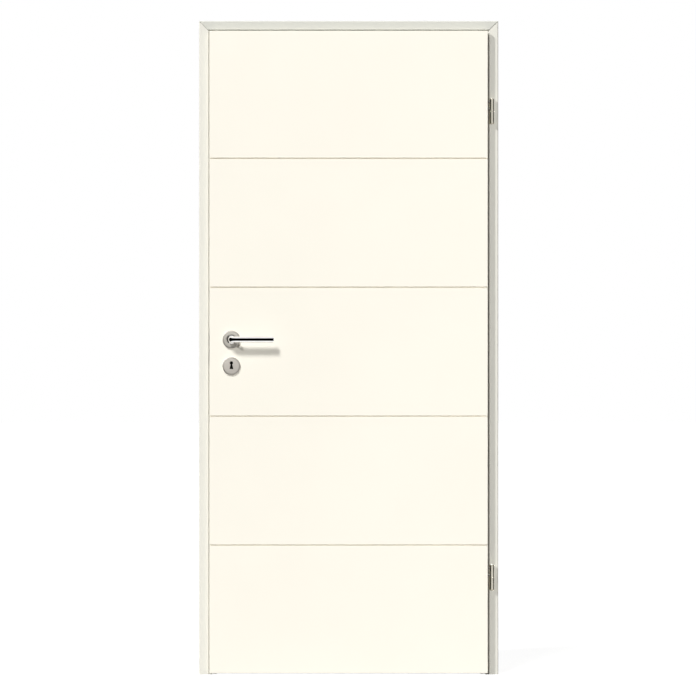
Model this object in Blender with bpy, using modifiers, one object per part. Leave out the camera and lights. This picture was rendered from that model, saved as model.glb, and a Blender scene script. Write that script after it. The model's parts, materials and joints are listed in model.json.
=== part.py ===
"""Interior door: a rebated flush leaf with four cross grooves, hung in a mitred timber frame.

Metres, +Z up, the floor at z = 0. +X runs towards the hinge side and +Y through the wall,
away from the side that the leaf opens to. The origin is the middle of the hinge-side lining's
foot. The leaf stands closed, and its lip overlaps the front architraves on three sides.
"""
import math

import bmesh
import bpy
from mathutils import Matrix, Vector

# Clearances and helpers
SEAT_GAP = 0.0003
RUNNING_GAP = 0.0005
WELD_DISTANCE = 0.00001
AXIS_MARK_SIZE = 0.05

# Leaf
LEAF_WIDTH = 0.860
LEAF_HEIGHT = 1.985
LEAF_THICKNESS = 0.040
LIP_THICKNESS = 0.015
LIP_OVERLAP = 0.013
FACE_BOARD = 0.003
LEAF_EDGE_BEVEL = 0.001
FLOOR_GAP = 0.005
GROOVE_COUNT = 4
FIRST_GROOVE_HEIGHT = 0.397
GROOVE_SPACING = 0.3985
GROOVE_WIDTH = 0.006
GROOVE_DEPTH = 0.002

# Gaps between leaf and frame
SIDE_GAP = 0.006
TOP_GAP = 0.005
LIP_GAP = 0.005
STOP_GAP = 0.008

# Frame
LINING_THICKNESS = 0.022
STOP_WIDTH = 0.015
WALL_DEPTH = 0.145
FRONT_ARCHITRAVE_WIDTH = 0.040
BACK_ARCHITRAVE_WIDTH = 0.055
BACK_ARCHITRAVE_THICKNESS = 0.016
ARCHITRAVE_ROUNDING = 0.003
EDGE_GROOVE_SHOWN = 0.0022
EDGE_GROOVE_COVERED = 0.0006
EDGE_GROOVE_DEPTH = 0.004
LINING_ROUNDING = 0.001
TONGUE_THICKNESS = 0.004
TONGUE_DEPTH = 0.018
SEAL_INSET = 0.005
SEAL_STEM_WIDTH = 0.003
SEAL_STEM_DEPTH = 0.006
SEAL_BULB_WIDTH = 0.006
SEAL_BULB_HEIGHT = 0.0025

# Hinges
HINGE_EDGE_OFFSET = 0.0125
BARREL_RADIUS = 0.0075
KNUCKLE_LENGTH = 0.040
HINGE_LINE_BELOW_REBATE = 0.241
HINGE_SPACING = 1.441
PIN_RADIUS = 0.004
PIN_CAP_HEIGHT = 0.003
KNUCKLE_TOP_WALL = 0.004
KNUCKLE_EDGE_BEVEL = 0.0008
FIXING_RADIUS = 0.003
FIXING_SPACING = 0.022
LEAF_FIXING_LENGTH = 0.040
FRAME_FIXING_LENGTH = 0.020

# Lock
SPINDLE_HEIGHT = 1.036
BACKSET = 0.055
KEY_DISTANCE = 0.072
SPINDLE_SIDE = 0.008
FOLLOWER_RADIUS = 0.009
CASE_THICKNESS = 0.015
CASE_DEPTH = 0.085
CASE_HEIGHT = 0.165
CASE_TOP_ABOVE_SPINDLE = 0.050
CASE_WEB = 0.002
FOREND_WIDTH = 0.020
FOREND_HEIGHT = 0.235
FOREND_THICKNESS = 0.003
LATCH_THICKNESS = 0.011
LATCH_HEIGHT = 0.034
BOLT_THICKNESS = 0.008
BOLT_HEIGHT = 0.038
BOLT_ABOVE_KEY = 0.018
BOLT_LENGTH = 0.032
PASSAGE_RADIUS = 0.0105
KEY_PASSAGE_WIDTH = 0.014
KEY_PASSAGE_HEIGHT = 0.034
KEY_PASSAGE_DROP = 0.007

# Strike plate
STRIKE_THICKNESS = 0.002
STRIKE_HEIGHT = 0.170
STRIKE_LEG = 0.020
STRIKE_FLANGE = 0.0055
WINDOW_CLEARANCE = 0.001
KEEP_DEPTH = 0.022

# Lever sets
ROSE_RADIUS = 0.0275
ROSE_THICKNESS = 0.0085
ROSE_RIM = 0.003
COLLAR_RADIUS = 0.015
COLLAR_HEIGHT = 0.0035
COLLAR_SEAT_DEPTH = 0.002
COLLAR_SHADOW_GAP = 0.0008
COLLAR_BEVEL = 0.0006
LEVER_RADIUS = 0.0095
LEVER_REACH = 0.130
LEVER_PROJECTION = 0.050
LEVER_BEND_RADIUS = 0.014
LEVER_TIP_BEVEL = 0.001
NECK_END = 0.0025
SOCKET_DEPTH = 0.025
KEY_ROSE_DROP = 0.010
KEYHOLE_RADIUS = 0.0049
KEYHOLE_NECK = 0.0050
KEYHOLE_FOOT = 0.0110
KEYHOLE_DROP = 0.019

# How finely round pieces are divided
ROSE_STEPS = 48
BARREL_STEPS = 32
STUD_STEPS = 16
LEVER_SIDES_RESOLUTION = 9
BEND_STEPS = 8
ARC_STEPS = 3
KEYHOLE_STEPS = 14

# Planes across the opening, outwards from its middle line
LEAF_HALF = LEAF_WIDTH / 2
CORE_HALF = LEAF_HALF - LIP_OVERLAP
REBATE_HALF = CORE_HALF + SIDE_GAP
CLEAR_HALF = REBATE_HALF - STOP_WIDTH
LIP_COVER = LEAF_HALF - REBATE_HALF
CENTRE_X = -(CLEAR_HALF + LINING_THICKNESS / 2)
LOCK_EDGE_X = CENTRE_X - CORE_HALF

# Planes through the wall
FRONT_ARCHITRAVE_THICKNESS = LEAF_THICKNESS - LIP_THICKNESS - LIP_GAP + STOP_GAP
WALL_FRONT_Y = -WALL_DEPTH / 2
WALL_BACK_Y = WALL_DEPTH / 2
FRAME_FRONT_Y = WALL_FRONT_Y - FRONT_ARCHITRAVE_THICKNESS
LIP_BACK_Y = FRAME_FRONT_Y - LIP_GAP
LEAF_FRONT_Y = LIP_BACK_Y - LIP_THICKNESS
LEAF_BACK_Y = LEAF_FRONT_Y + LEAF_THICKNESS
CORE_FRONT_Y = LEAF_FRONT_Y + FACE_BOARD + SEAT_GAP
CORE_BACK_Y = LEAF_BACK_Y - FACE_BOARD - SEAT_GAP
LOCK_Y = (LIP_BACK_Y + LEAF_BACK_Y) / 2

# Heights
LEAF_TOP_Z = FLOOR_GAP + LEAF_HEIGHT
CORE_TOP_Z = LEAF_TOP_Z - LIP_OVERLAP
REBATE_TOP_Z = CORE_TOP_Z + TOP_GAP
CLEAR_TOP_Z = REBATE_TOP_Z - STOP_WIDTH
KEY_HEIGHT = SPINDLE_HEIGHT - KEY_DISTANCE
BOLT_LINE_Z = KEY_HEIGHT + BOLT_ABOVE_KEY
STRIKE_MIDDLE_Z = (SPINDLE_HEIGHT + BOLT_LINE_Z) / 2
UPPER_HINGE_Z = REBATE_TOP_Z - HINGE_LINE_BELOW_REBATE
LOWER_HINGE_Z = UPPER_HINGE_Z - HINGE_SPACING

# Axes
HINGE_X = CENTRE_X + LEAF_HALF + HINGE_EDGE_OFFSET
HINGE_Y = LEAF_FRONT_Y + BARREL_RADIUS
SPINDLE_X = LOCK_EDGE_X + BACKSET

# What repeats: the frame's sides, the hinges, the lock's bolts and the leaf's faces
SIDES = (("lock_side", -1), ("hinge_side", 1))
HEAD_TURN = (0, -math.pi / 2, 0)
HINGES = (("upper_hinge", UPPER_HINGE_Z), ("lower_hinge", LOWER_HINGE_Z))
BOLTS = (
    ("latch_bolt", LATCH_THICKNESS, LATCH_HEIGHT, SPINDLE_HEIGHT),
    ("dead_bolt", BOLT_THICKNESS, BOLT_HEIGHT, BOLT_LINE_Z),
)
FACES = (("front", LEAF_FRONT_Y, -1), ("back", LEAF_BACK_Y, 1))


def clear_scene():
    for existing in list(bpy.data.objects):
        bpy.data.objects.remove(existing, do_unlink=True)


def make_collection(name):
    collection = bpy.data.collections.new(name)
    bpy.context.scene.collection.children.link(collection)
    return collection


def make_material(name, colour, roughness, metallic=0.0):
    material = bpy.data.materials.new(name)
    material.use_nodes = True
    shader = material.node_tree.nodes["Principled BSDF"]
    shader.inputs["Base Color"].default_value = (*colour, 1.0)
    shader.inputs["Roughness"].default_value = roughness
    shader.inputs["Metallic"].default_value = metallic
    return material


def make_axis(name, location, parent=None):
    """An empty on a joint's axis, which the moving pieces are parented to."""
    axis = bpy.data.objects.new(name, None)
    axis.empty_display_size = AXIS_MARK_SIZE
    axis["world_place"] = location
    PARTS.objects.link(axis)
    if parent is None:
        axis.location = location
    else:
        axis.parent = parent
        axis.location = Vector(location) - Vector(parent["world_place"])
    return axis


def place(piece, name, material, axis):
    """Names a piece, gives it its material and hangs it on its body's axis."""
    piece.name = name
    piece.data.name = name
    piece.data.materials.append(material)
    if axis is not None:
        piece.parent = axis
        piece.matrix_parent_inverse = Matrix.Translation(-Vector(axis["world_place"]))
    return piece


def link_mesh(name, mesh, collection, location=(0, 0, 0), rotation=(0, 0, 0)):
    piece = bpy.data.objects.new(name, mesh)
    piece.location = location
    piece.rotation_euler = rotation
    collection.objects.link(piece)
    return piece


def hide_tool(tool):
    tool.hide_render = True
    tool.display_type = "WIRE"
    return tool


def cut(piece, tool):
    modifier = piece.modifiers.new(tool.name, "BOOLEAN")
    modifier.operation = "DIFFERENCE"
    modifier.object = tool


def join(piece, tool):
    modifier = piece.modifiers.new(tool.name, "BOOLEAN")
    modifier.operation = "UNION"
    modifier.object = tool


def box_mesh(name, low, high):
    """A cube primitive stretched between two corners, about its own middle."""
    size = Vector(high) - Vector(low)
    mesh = bpy.data.meshes.new(name)
    shape = bmesh.new()
    bmesh.ops.create_cube(shape, size=1.0)
    bmesh.ops.scale(shape, vec=size, verts=shape.verts)
    shape.to_mesh(mesh)
    shape.free()
    return mesh


def box(low, high, bevel=0.0):
    middle = (Vector(low) + Vector(high)) / 2
    piece = link_mesh("box", box_mesh("box", low, high), PARTS, middle)
    if bevel:
        edges = piece.modifiers.new("edges", "BEVEL")
        edges.width = bevel
        edges.segments = 1
    return piece


def box_tool(name, low, high):
    middle = (Vector(low) + Vector(high)) / 2
    return hide_tool(link_mesh(name, box_mesh(name, low, high), TOOLS, middle))


def cylinder_tool(name, start, end, radius, steps=BARREL_STEPS):
    """A round cutter or stud between two points."""
    start = Vector(start)
    end = Vector(end)
    mesh = bpy.data.meshes.new(name)
    shape = bmesh.new()
    bmesh.ops.create_cone(
        shape, cap_ends=True, segments=steps, radius1=radius, radius2=radius, depth=(end - start).length
    )
    shape.to_mesh(mesh)
    shape.free()
    turn = (end - start).to_track_quat("Z", "Y").to_euler()
    return hide_tool(link_mesh(name, mesh, TOOLS, (start + end) / 2, turn))


def welded_mesh(curve_object):
    """Turns a curve object into a closed mesh and removes the curve."""
    depsgraph = bpy.context.evaluated_depsgraph_get()
    mesh = bpy.data.meshes.new_from_object(curve_object.evaluated_get(depsgraph))
    shape = bmesh.new()
    shape.from_mesh(mesh)
    bmesh.ops.remove_doubles(shape, verts=shape.verts, dist=WELD_DISTANCE)
    shape.to_mesh(mesh)
    shape.free()
    bpy.data.objects.remove(curve_object, do_unlink=True)
    return mesh


def outline_mesh(name, points, thickness):
    """A flat outline in XY, extruded evenly to both sides of its plane."""
    curve = bpy.data.curves.new(name, "CURVE")
    curve.dimensions = "2D"
    curve.fill_mode = "BOTH"
    curve.extrude = thickness / 2
    curve.resolution_u = 1
    spline = curve.splines.new("POLY")
    spline.points.add(len(points) - 1)
    for point, (x, y) in zip(spline.points, points):
        point.co = (x, y, 0.0, 1.0)
    spline.use_cyclic_u = True
    return welded_mesh(link_mesh(name, curve, TOOLS))


def rounded_outline(corners):
    """Corners given as (x, y, radius), each round one replaced by a short arc."""
    points = []
    for index, (x, y, radius) in enumerate(corners):
        corner = Vector((x, y))
        if radius == 0:
            points.append(corner)
            continue
        before = (Vector(corners[index - 1][:2]) - corner).normalized()
        after = (Vector(corners[(index + 1) % len(corners)][:2]) - corner).normalized()
        centre = corner + (before + after) * radius
        for step in range(ARC_STEPS + 1):
            angle = step / ARC_STEPS * math.pi / 2
            points.append(centre - after * radius * math.cos(angle) - before * radius * math.sin(angle))
    return [tuple(point) for point in points]


def section_bar(name, corners, length, side=1, mitre_start=False, mitre_end=False):
    """A bar of constant section along local Z.

    Local X runs outwards from the opening, local Y through the wall. A mitred end slopes at
    45 degrees, so that the outer edge is longer than the inner one. A side of -1 mirrors the
    section, for the lock side.
    """
    outline = [(side * x, y) for x, y in rounded_outline(corners)]
    reach = 2 * max(abs(x) for x, _ in outline)
    start = -reach if mitre_start else 0.0
    end = length + reach if mitre_end else length
    mesh = outline_mesh(name, outline, end - start)
    shape = bmesh.new()
    shape.from_mesh(mesh)
    bmesh.ops.translate(shape, vec=(0, 0, (start + end) / 2), verts=shape.verts)
    if mitre_start:
        slice_end(shape, (0, 0, 0), (-side, 0, -1))
    if mitre_end:
        slice_end(shape, (0, 0, length), (-side, 0, 1))
    shape.to_mesh(mesh)
    shape.free()
    return mesh


def slice_end(shape, point, outwards):
    """Cuts off what lies beyond a plane and closes the cut."""
    geometry = shape.verts[:] + shape.edges[:] + shape.faces[:]
    result = bmesh.ops.bisect_plane(
        shape, geom=geometry, plane_co=point, plane_no=outwards, dist=WELD_DISTANCE, clear_outer=True
    )
    rim = [item for item in result["geom_cut"] if isinstance(item, bmesh.types.BMEdge)]
    bmesh.ops.contextual_create(shape, geom=rim)
    bmesh.ops.recalc_face_normals(shape, faces=shape.faces[:])


def turned(name, profile, location, outwards, closed, steps):
    """A profile of (radius, height) points turned about an axis that points outwards."""
    mesh = bpy.data.meshes.new(name)
    edges = [(index, index + 1) for index in range(len(profile) - 1)]
    if closed:
        edges.append((len(profile) - 1, 0))
    mesh.from_pydata([(radius, 0, height) for radius, height in profile], edges, [])
    turn = Vector(outwards).to_track_quat("Z", "X").to_euler()
    piece = link_mesh(name, mesh, PARTS, location, turn)
    screw = piece.modifiers.new("turn", "SCREW")
    screw.steps = steps
    screw.render_steps = steps
    screw.use_merge_vertices = True
    screw.merge_threshold = WELD_DISTANCE
    screw.use_smooth_shade = True
    return piece


def rim_arc(radius, top, rounding):
    """Profile points that round a turned piece's outer top edge."""
    points = []
    for step in range(ARC_STEPS + 1):
        angle = step / ARC_STEPS * math.pi / 2
        points.append((
            radius - rounding + rounding * math.sin(angle),
            top - rounding + rounding * math.cos(angle),
        ))
    return points


def keyhole_outline():
    """A round hole over a flared slot, about the key's axis, with +Y up."""
    neck_angle = math.asin(KEYHOLE_NECK / 2 / KEYHOLE_RADIUS)
    sweep = 2 * math.pi - 2 * neck_angle
    points = []
    for step in range(KEYHOLE_STEPS + 1):
        angle = -math.pi / 2 + neck_angle + sweep * step / KEYHOLE_STEPS
        points.append((KEYHOLE_RADIUS * math.cos(angle), KEYHOLE_RADIUS * math.sin(angle)))
    points.append((-KEYHOLE_FOOT / 2, -KEYHOLE_DROP))
    points.append((KEYHOLE_FOOT / 2, -KEYHOLE_DROP))
    return points


def keyhole_tool(name, low_y, high_y):
    mesh = outline_mesh(name, keyhole_outline(), high_y - low_y)
    place_at = (SPINDLE_X, (low_y + high_y) / 2, KEY_HEIGHT)
    return hide_tool(link_mesh(name, mesh, TOOLS, place_at, (math.pi / 2, 0, 0)))


def build_linings():
    """The boards that line the wall's reveal; their front edges are the leaf's stops."""
    seal_low = SEAL_INSET - SEAL_STEM_WIDTH / 2 - SEAT_GAP
    seal_high = SEAL_INSET + SEAL_STEM_WIDTH / 2 + SEAT_GAP
    seal_floor = WALL_FRONT_Y + SEAL_STEM_DEPTH + SEAT_GAP
    tongue_low = (LINING_THICKNESS - TONGUE_THICKNESS) / 2 - SEAT_GAP
    tongue_high = (LINING_THICKNESS + TONGUE_THICKNESS) / 2 + SEAT_GAP
    tongue_floor = WALL_BACK_Y - TONGUE_DEPTH - SEAT_GAP
    section = [
        (0, WALL_FRONT_Y, LINING_ROUNDING),
        (seal_low, WALL_FRONT_Y, 0),
        (seal_low, seal_floor, 0),
        (seal_high, seal_floor, 0),
        (seal_high, WALL_FRONT_Y, 0),
        (LINING_THICKNESS, WALL_FRONT_Y, 0),
        (LINING_THICKNESS, WALL_BACK_Y, 0),
        (tongue_high, WALL_BACK_Y, 0),
        (tongue_high, tongue_floor, 0),
        (tongue_low, tongue_floor, 0),
        (tongue_low, WALL_BACK_Y, 0),
        (0, WALL_BACK_Y, 0),
    ]
    frame_set("lining", section, CLEAR_HALF, CLEAR_TOP_Z, FRAME_PAINT)


def frame_set(part_name, section, inner_half, inner_top, material):
    """Three mitred bars round the opening; returns them by side."""
    bars = {}
    joint = SEAT_GAP / 2 * math.sqrt(2)
    for side_name, side in SIDES:
        mesh = section_bar(part_name, section, inner_top - joint, side, mitre_end=True)
        bar = link_mesh(part_name, mesh, PARTS, (CENTRE_X + side * inner_half, 0, 0))
        bars[side_name] = place(bar, part_name + "_" + side_name, material, None)
    mesh = section_bar(part_name, section, 2 * (inner_half - joint), 1, True, True)
    start = (CENTRE_X + inner_half - joint, 0, inner_top)
    bars["head"] = place(
        link_mesh(part_name, mesh, PARTS, start, HEAD_TURN), part_name + "_head", material, None
    )
    return bars


def build_front_architraves():
    """The rebated side: thick mitred bars whose inner edges face the leaf's edges.

    A narrow groove runs under the lip's edge and shows as a dark joint round the leaf.
    """
    back = WALL_FRONT_Y - SEAT_GAP
    groove_low = LIP_COVER - EDGE_GROOVE_COVERED
    groove_high = LIP_COVER + EDGE_GROOVE_SHOWN
    groove_floor = FRAME_FRONT_Y + EDGE_GROOVE_DEPTH
    section = [
        (0, FRAME_FRONT_Y, ARCHITRAVE_ROUNDING),
        (groove_low, FRAME_FRONT_Y, 0),
        (groove_low, groove_floor, 0),
        (groove_high, groove_floor, 0),
        (groove_high, FRAME_FRONT_Y, 0),
        (FRONT_ARCHITRAVE_WIDTH, FRAME_FRONT_Y, ARCHITRAVE_ROUNDING),
        (FRONT_ARCHITRAVE_WIDTH, back, 0),
        (0, back, 0),
    ]
    bars = frame_set("front_architrave", section, REBATE_HALF, REBATE_TOP_Z, FRAME_PAINT)
    cut_strike_bed(bars["lock_side"])
    for hinge_name, line_z in HINGES:
        for stud_z in fixing_heights(line_z - KNUCKLE_LENGTH / 2):
            hole = cylinder_tool(
                hinge_name + "_frame_hole",
                (HINGE_X, FRAME_FRONT_Y - FRAME_FIXING_LENGTH, stud_z),
                (HINGE_X, FRAME_FRONT_Y + FRAME_FIXING_LENGTH + SEAT_GAP, stud_z),
                FIXING_RADIUS + SEAT_GAP,
                STUD_STEPS,
            )
            cut(bars["hinge_side"], hole)


def cut_strike_bed(bar):
    """The angle strike's recess and the two pockets behind its windows."""
    rebate_x = CENTRE_X - REBATE_HALF
    low_z = STRIKE_MIDDLE_Z - STRIKE_HEIGHT / 2 - SEAT_GAP
    high_z = STRIKE_MIDDLE_Z + STRIKE_HEIGHT / 2 + SEAT_GAP
    bed = STRIKE_THICKNESS + SEAT_GAP
    over = FRONT_ARCHITRAVE_THICKNESS
    cut(bar, box_tool(
        "strike_leg_bed",
        (rebate_x - bed, FRAME_FRONT_Y - over, low_z),
        (rebate_x + over, FRAME_FRONT_Y + STRIKE_LEG + SEAT_GAP, high_z),
    ))
    cut(bar, box_tool(
        "strike_flange_bed",
        (rebate_x - STRIKE_FLANGE - SEAT_GAP, FRAME_FRONT_Y - over, low_z),
        (rebate_x, FRAME_FRONT_Y + bed, high_z),
    ))
    for name, thickness, height, z in BOLTS:
        half_y = thickness / 2 + WINDOW_CLEARANCE
        half_z = height / 2 + WINDOW_CLEARANCE
        cut(bar, box_tool(
            name + "_pocket",
            (rebate_x - KEEP_DEPTH, LOCK_Y - half_y, z - half_z),
            (rebate_x + over, LOCK_Y + half_y, z + half_z),
        ))


def build_back_architraves():
    """The plain side: flat mitred bars held by a tongue in the linings' back edges."""
    face = WALL_BACK_Y + SEAT_GAP
    outer_face = WALL_BACK_Y + BACK_ARCHITRAVE_THICKNESS
    tongue_low = (LINING_THICKNESS - TONGUE_THICKNESS) / 2
    tongue_high = (LINING_THICKNESS + TONGUE_THICKNESS) / 2
    section = [
        (0, face, 0),
        (tongue_low, face, 0),
        (tongue_low, WALL_BACK_Y - TONGUE_DEPTH, 0),
        (tongue_high, WALL_BACK_Y - TONGUE_DEPTH, 0),
        (tongue_high, face, 0),
        (BACK_ARCHITRAVE_WIDTH, face, 0),
        (BACK_ARCHITRAVE_WIDTH, outer_face, ARCHITRAVE_ROUNDING),
        (0, outer_face, ARCHITRAVE_ROUNDING),
    ]
    frame_set("back_architrave", section, CLEAR_HALF, CLEAR_TOP_Z, FRAME_PAINT)


def build_seals():
    """Soft strips on the stops: a stem in the lining's groove and a low round bead."""
    stem = SEAL_STEM_WIDTH / 2
    bead = SEAL_BULB_WIDTH / 2
    foot = WALL_FRONT_Y - SEAT_GAP
    crown = foot - SEAL_BULB_HEIGHT
    section = [
        (SEAL_INSET - bead, crown, SEAL_BULB_HEIGHT / 2),
        (SEAL_INSET + bead, crown, SEAL_BULB_HEIGHT / 2),
        (SEAL_INSET + bead, foot, 0),
        (SEAL_INSET + stem, foot, 0),
        (SEAL_INSET + stem, WALL_FRONT_Y + SEAL_STEM_DEPTH, 0),
        (SEAL_INSET - stem, WALL_FRONT_Y + SEAL_STEM_DEPTH, 0),
        (SEAL_INSET - stem, foot, 0),
        (SEAL_INSET - bead, foot, 0),
    ]
    frame_set("seal", section, CLEAR_HALF, CLEAR_TOP_Z, SEAL_RUBBER)


def build_strike_plate():
    """An angle strike, flush in the lock-side architrave's edge and front."""
    rebate_x = CENTRE_X - REBATE_HALF
    section = [
        (rebate_x, FRAME_FRONT_Y),
        (rebate_x, FRAME_FRONT_Y + STRIKE_LEG),
        (rebate_x - STRIKE_THICKNESS, FRAME_FRONT_Y + STRIKE_LEG),
        (rebate_x - STRIKE_THICKNESS, FRAME_FRONT_Y + STRIKE_THICKNESS),
        (rebate_x - STRIKE_FLANGE, FRAME_FRONT_Y + STRIKE_THICKNESS),
        (rebate_x - STRIKE_FLANGE, FRAME_FRONT_Y),
    ]
    mesh = outline_mesh("strike_plate", section, STRIKE_HEIGHT)
    plate = link_mesh("strike_plate", mesh, PARTS, (0, 0, STRIKE_MIDDLE_Z))
    place(plate, "strike_plate", STEEL, None)
    for name, thickness, height, z in BOLTS:
        half_y = thickness / 2 + WINDOW_CLEARANCE
        half_z = height / 2 + WINDOW_CLEARANCE
        cut(plate, box_tool(
            name + "_window",
            (rebate_x - KEEP_DEPTH, LOCK_Y - half_y, z - half_z),
            (rebate_x + STRIKE_THICKNESS, LOCK_Y + half_y, z + half_z),
        ))


def fixing_heights(middle_z):
    """The heights of a knuckle's two studs."""
    return (middle_z - FIXING_SPACING / 2, middle_z + FIXING_SPACING / 2)


def build_hinge(name, line_z):
    """A two-part barrel hinge: leaf half above, frame half and pin below."""
    bore = PIN_RADIUS + RUNNING_GAP
    edge = KNUCKLE_EDGE_BEVEL
    frame_low = PIN_CAP_HEIGHT - KNUCKLE_LENGTH + SEAT_GAP
    frame_profile = [
        (bore, 0),
        (BARREL_RADIUS - edge, 0),
        (BARREL_RADIUS, -edge),
        (BARREL_RADIUS, frame_low),
        (bore, frame_low),
    ]
    place_at = (HINGE_X, HINGE_Y, line_z)
    frame_half = turned("knuckle", frame_profile, place_at, (0, 0, 1), True, BARREL_STEPS)
    place(frame_half, name + "_frame_knuckle", NICKEL, None)
    for stud_z in fixing_heights(line_z - KNUCKLE_LENGTH / 2):
        join(frame_half, cylinder_tool(
            name + "_frame_stud",
            (HINGE_X, HINGE_Y + bore + edge, stud_z),
            (HINGE_X, FRAME_FRONT_Y + FRAME_FIXING_LENGTH, stud_z),
            FIXING_RADIUS,
            STUD_STEPS,
        ))

    bore_top = KNUCKLE_LENGTH - KNUCKLE_TOP_WALL
    leaf_profile = [
        (0, KNUCKLE_LENGTH),
        *rim_arc(BARREL_RADIUS, KNUCKLE_LENGTH, KNUCKLE_TOP_WALL / 2),
        (BARREL_RADIUS, SEAT_GAP + edge),
        (BARREL_RADIUS - edge, SEAT_GAP),
        (bore, SEAT_GAP),
        (bore, bore_top),
        (0, bore_top),
    ]
    leaf_half = turned("knuckle", leaf_profile, place_at, (0, 0, 1), False, BARREL_STEPS)
    place(leaf_half, name + "_leaf_knuckle", NICKEL, LEAF_AXIS)
    for stud_z in fixing_heights(line_z + KNUCKLE_LENGTH / 2):
        join(leaf_half, cylinder_tool(
            name + "_leaf_stud",
            (HINGE_X - bore - edge, HINGE_Y, stud_z),
            (CENTRE_X + LEAF_HALF - LEAF_FIXING_LENGTH, HINGE_Y, stud_z),
            FIXING_RADIUS,
            STUD_STEPS,
        ))

    cap_top = PIN_CAP_HEIGHT - KNUCKLE_LENGTH
    pin_top = bore_top - RUNNING_GAP
    pin_profile = [
        (0, pin_top),
        (PIN_RADIUS, pin_top),
        (PIN_RADIUS, cap_top),
        (BARREL_RADIUS, cap_top),
        (BARREL_RADIUS, cap_top - edge),
    ]
    for step in range(1, ARC_STEPS + 1):
        angle = step / ARC_STEPS * math.pi / 2
        pin_profile.append((
            BARREL_RADIUS * math.cos(angle) if step < ARC_STEPS else 0,
            cap_top - edge - (PIN_CAP_HEIGHT - edge) * math.sin(angle),
        ))
    pin = turned("pin", pin_profile, place_at, (0, 0, 1), False, BARREL_STEPS)
    place(pin, name + "_pin", NICKEL, None)


def cut_lock_passages(piece, low_y, high_y):
    """Holes for the spindle and the key through a board of the leaf."""
    cut(piece, cylinder_tool(
        "spindle_passage",
        (SPINDLE_X, low_y, SPINDLE_HEIGHT),
        (SPINDLE_X, high_y, SPINDLE_HEIGHT),
        PASSAGE_RADIUS,
    ))
    half = KEY_PASSAGE_WIDTH / 2
    middle_z = KEY_HEIGHT - KEY_PASSAGE_DROP
    cut(piece, box_tool(
        "key_passage",
        (SPINDLE_X - half, low_y, middle_z - KEY_PASSAGE_HEIGHT / 2),
        (SPINDLE_X + half, high_y, middle_z + KEY_PASSAGE_HEIGHT / 2),
    ))


def cut_grooves(board, surface_y, inwards):
    """The level grooves that divide the leaf into five fields."""
    low_y, high_y = sorted((surface_y - inwards * FACE_BOARD, surface_y + inwards * GROOVE_DEPTH))
    for number in range(GROOVE_COUNT):
        z = FLOOR_GAP + FIRST_GROOVE_HEIGHT + GROOVE_SPACING * number
        cut(board, box_tool(
            "groove",
            (CENTRE_X - LEAF_WIDTH, low_y, z - GROOVE_WIDTH / 2),
            (CENTRE_X + LEAF_WIDTH, high_y, z + GROOVE_WIDTH / 2),
        ))


def build_leaf():
    """The core with its rebated lip, and the two grooved face boards."""
    section = [
        (-LEAF_HALF, CORE_FRONT_Y),
        (LEAF_HALF, CORE_FRONT_Y),
        (LEAF_HALF, LIP_BACK_Y),
        (CORE_HALF, LIP_BACK_Y),
        (CORE_HALF, CORE_BACK_Y),
        (-CORE_HALF, CORE_BACK_Y),
        (-CORE_HALF, LIP_BACK_Y),
        (-LEAF_HALF, LIP_BACK_Y),
    ]
    mesh = outline_mesh("leaf_core", section, LEAF_HEIGHT)
    core = link_mesh("leaf_core", mesh, PARTS, (CENTRE_X, 0, FLOOR_GAP + LEAF_HEIGHT / 2))
    place(core, "leaf_core", LEAF_PAINT, LEAF_AXIS)
    cut(core, box_tool(
        "top_rebate",
        (CENTRE_X - LEAF_WIDTH, LIP_BACK_Y, CORE_TOP_Z),
        (CENTRE_X + LEAF_WIDTH, LEAF_BACK_Y + LEAF_THICKNESS, LEAF_TOP_Z + LEAF_THICKNESS),
    ))
    cut_mortise(core)
    cut_forend_bed(core)
    cut_lock_passages(core, LEAF_FRONT_Y, LEAF_BACK_Y)
    for hinge_name, line_z in HINGES:
        for stud_z in fixing_heights(line_z + KNUCKLE_LENGTH / 2):
            edge_x = CENTRE_X + LEAF_HALF
            cut(core, cylinder_tool(
                hinge_name + "_leaf_hole",
                (edge_x + LEAF_FIXING_LENGTH, HINGE_Y, stud_z),
                (edge_x - LEAF_FIXING_LENGTH - SEAT_GAP, HINGE_Y, stud_z),
                FIXING_RADIUS + SEAT_GAP,
                STUD_STEPS,
            ))

    front = box(
        (CENTRE_X - LEAF_HALF, LEAF_FRONT_Y, FLOOR_GAP),
        (CENTRE_X + LEAF_HALF, LEAF_FRONT_Y + FACE_BOARD, LEAF_TOP_Z),
        LEAF_EDGE_BEVEL,
    )
    place(front, "leaf_front_board", LEAF_PAINT, LEAF_AXIS)
    cut_grooves(front, LEAF_FRONT_Y, 1)
    cut_lock_passages(front, LEAF_FRONT_Y - FACE_BOARD, CORE_FRONT_Y + FACE_BOARD)

    back = box(
        (CENTRE_X - CORE_HALF, LEAF_BACK_Y - FACE_BOARD, FLOOR_GAP),
        (CENTRE_X + CORE_HALF, LEAF_BACK_Y, CORE_TOP_Z),
        LEAF_EDGE_BEVEL,
    )
    place(back, "leaf_back_board", LEAF_PAINT, LEAF_AXIS)
    cut_grooves(back, LEAF_BACK_Y, -1)
    cut_lock_passages(back, CORE_BACK_Y - FACE_BOARD, LEAF_BACK_Y + FACE_BOARD)
    cut_forend_bed(back)


def forend_heights():
    """The forend is centred on the case."""
    case_top = SPINDLE_HEIGHT + CASE_TOP_ABOVE_SPINDLE
    middle = case_top - CASE_HEIGHT / 2
    return middle - FOREND_HEIGHT / 2, middle + FOREND_HEIGHT / 2


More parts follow.
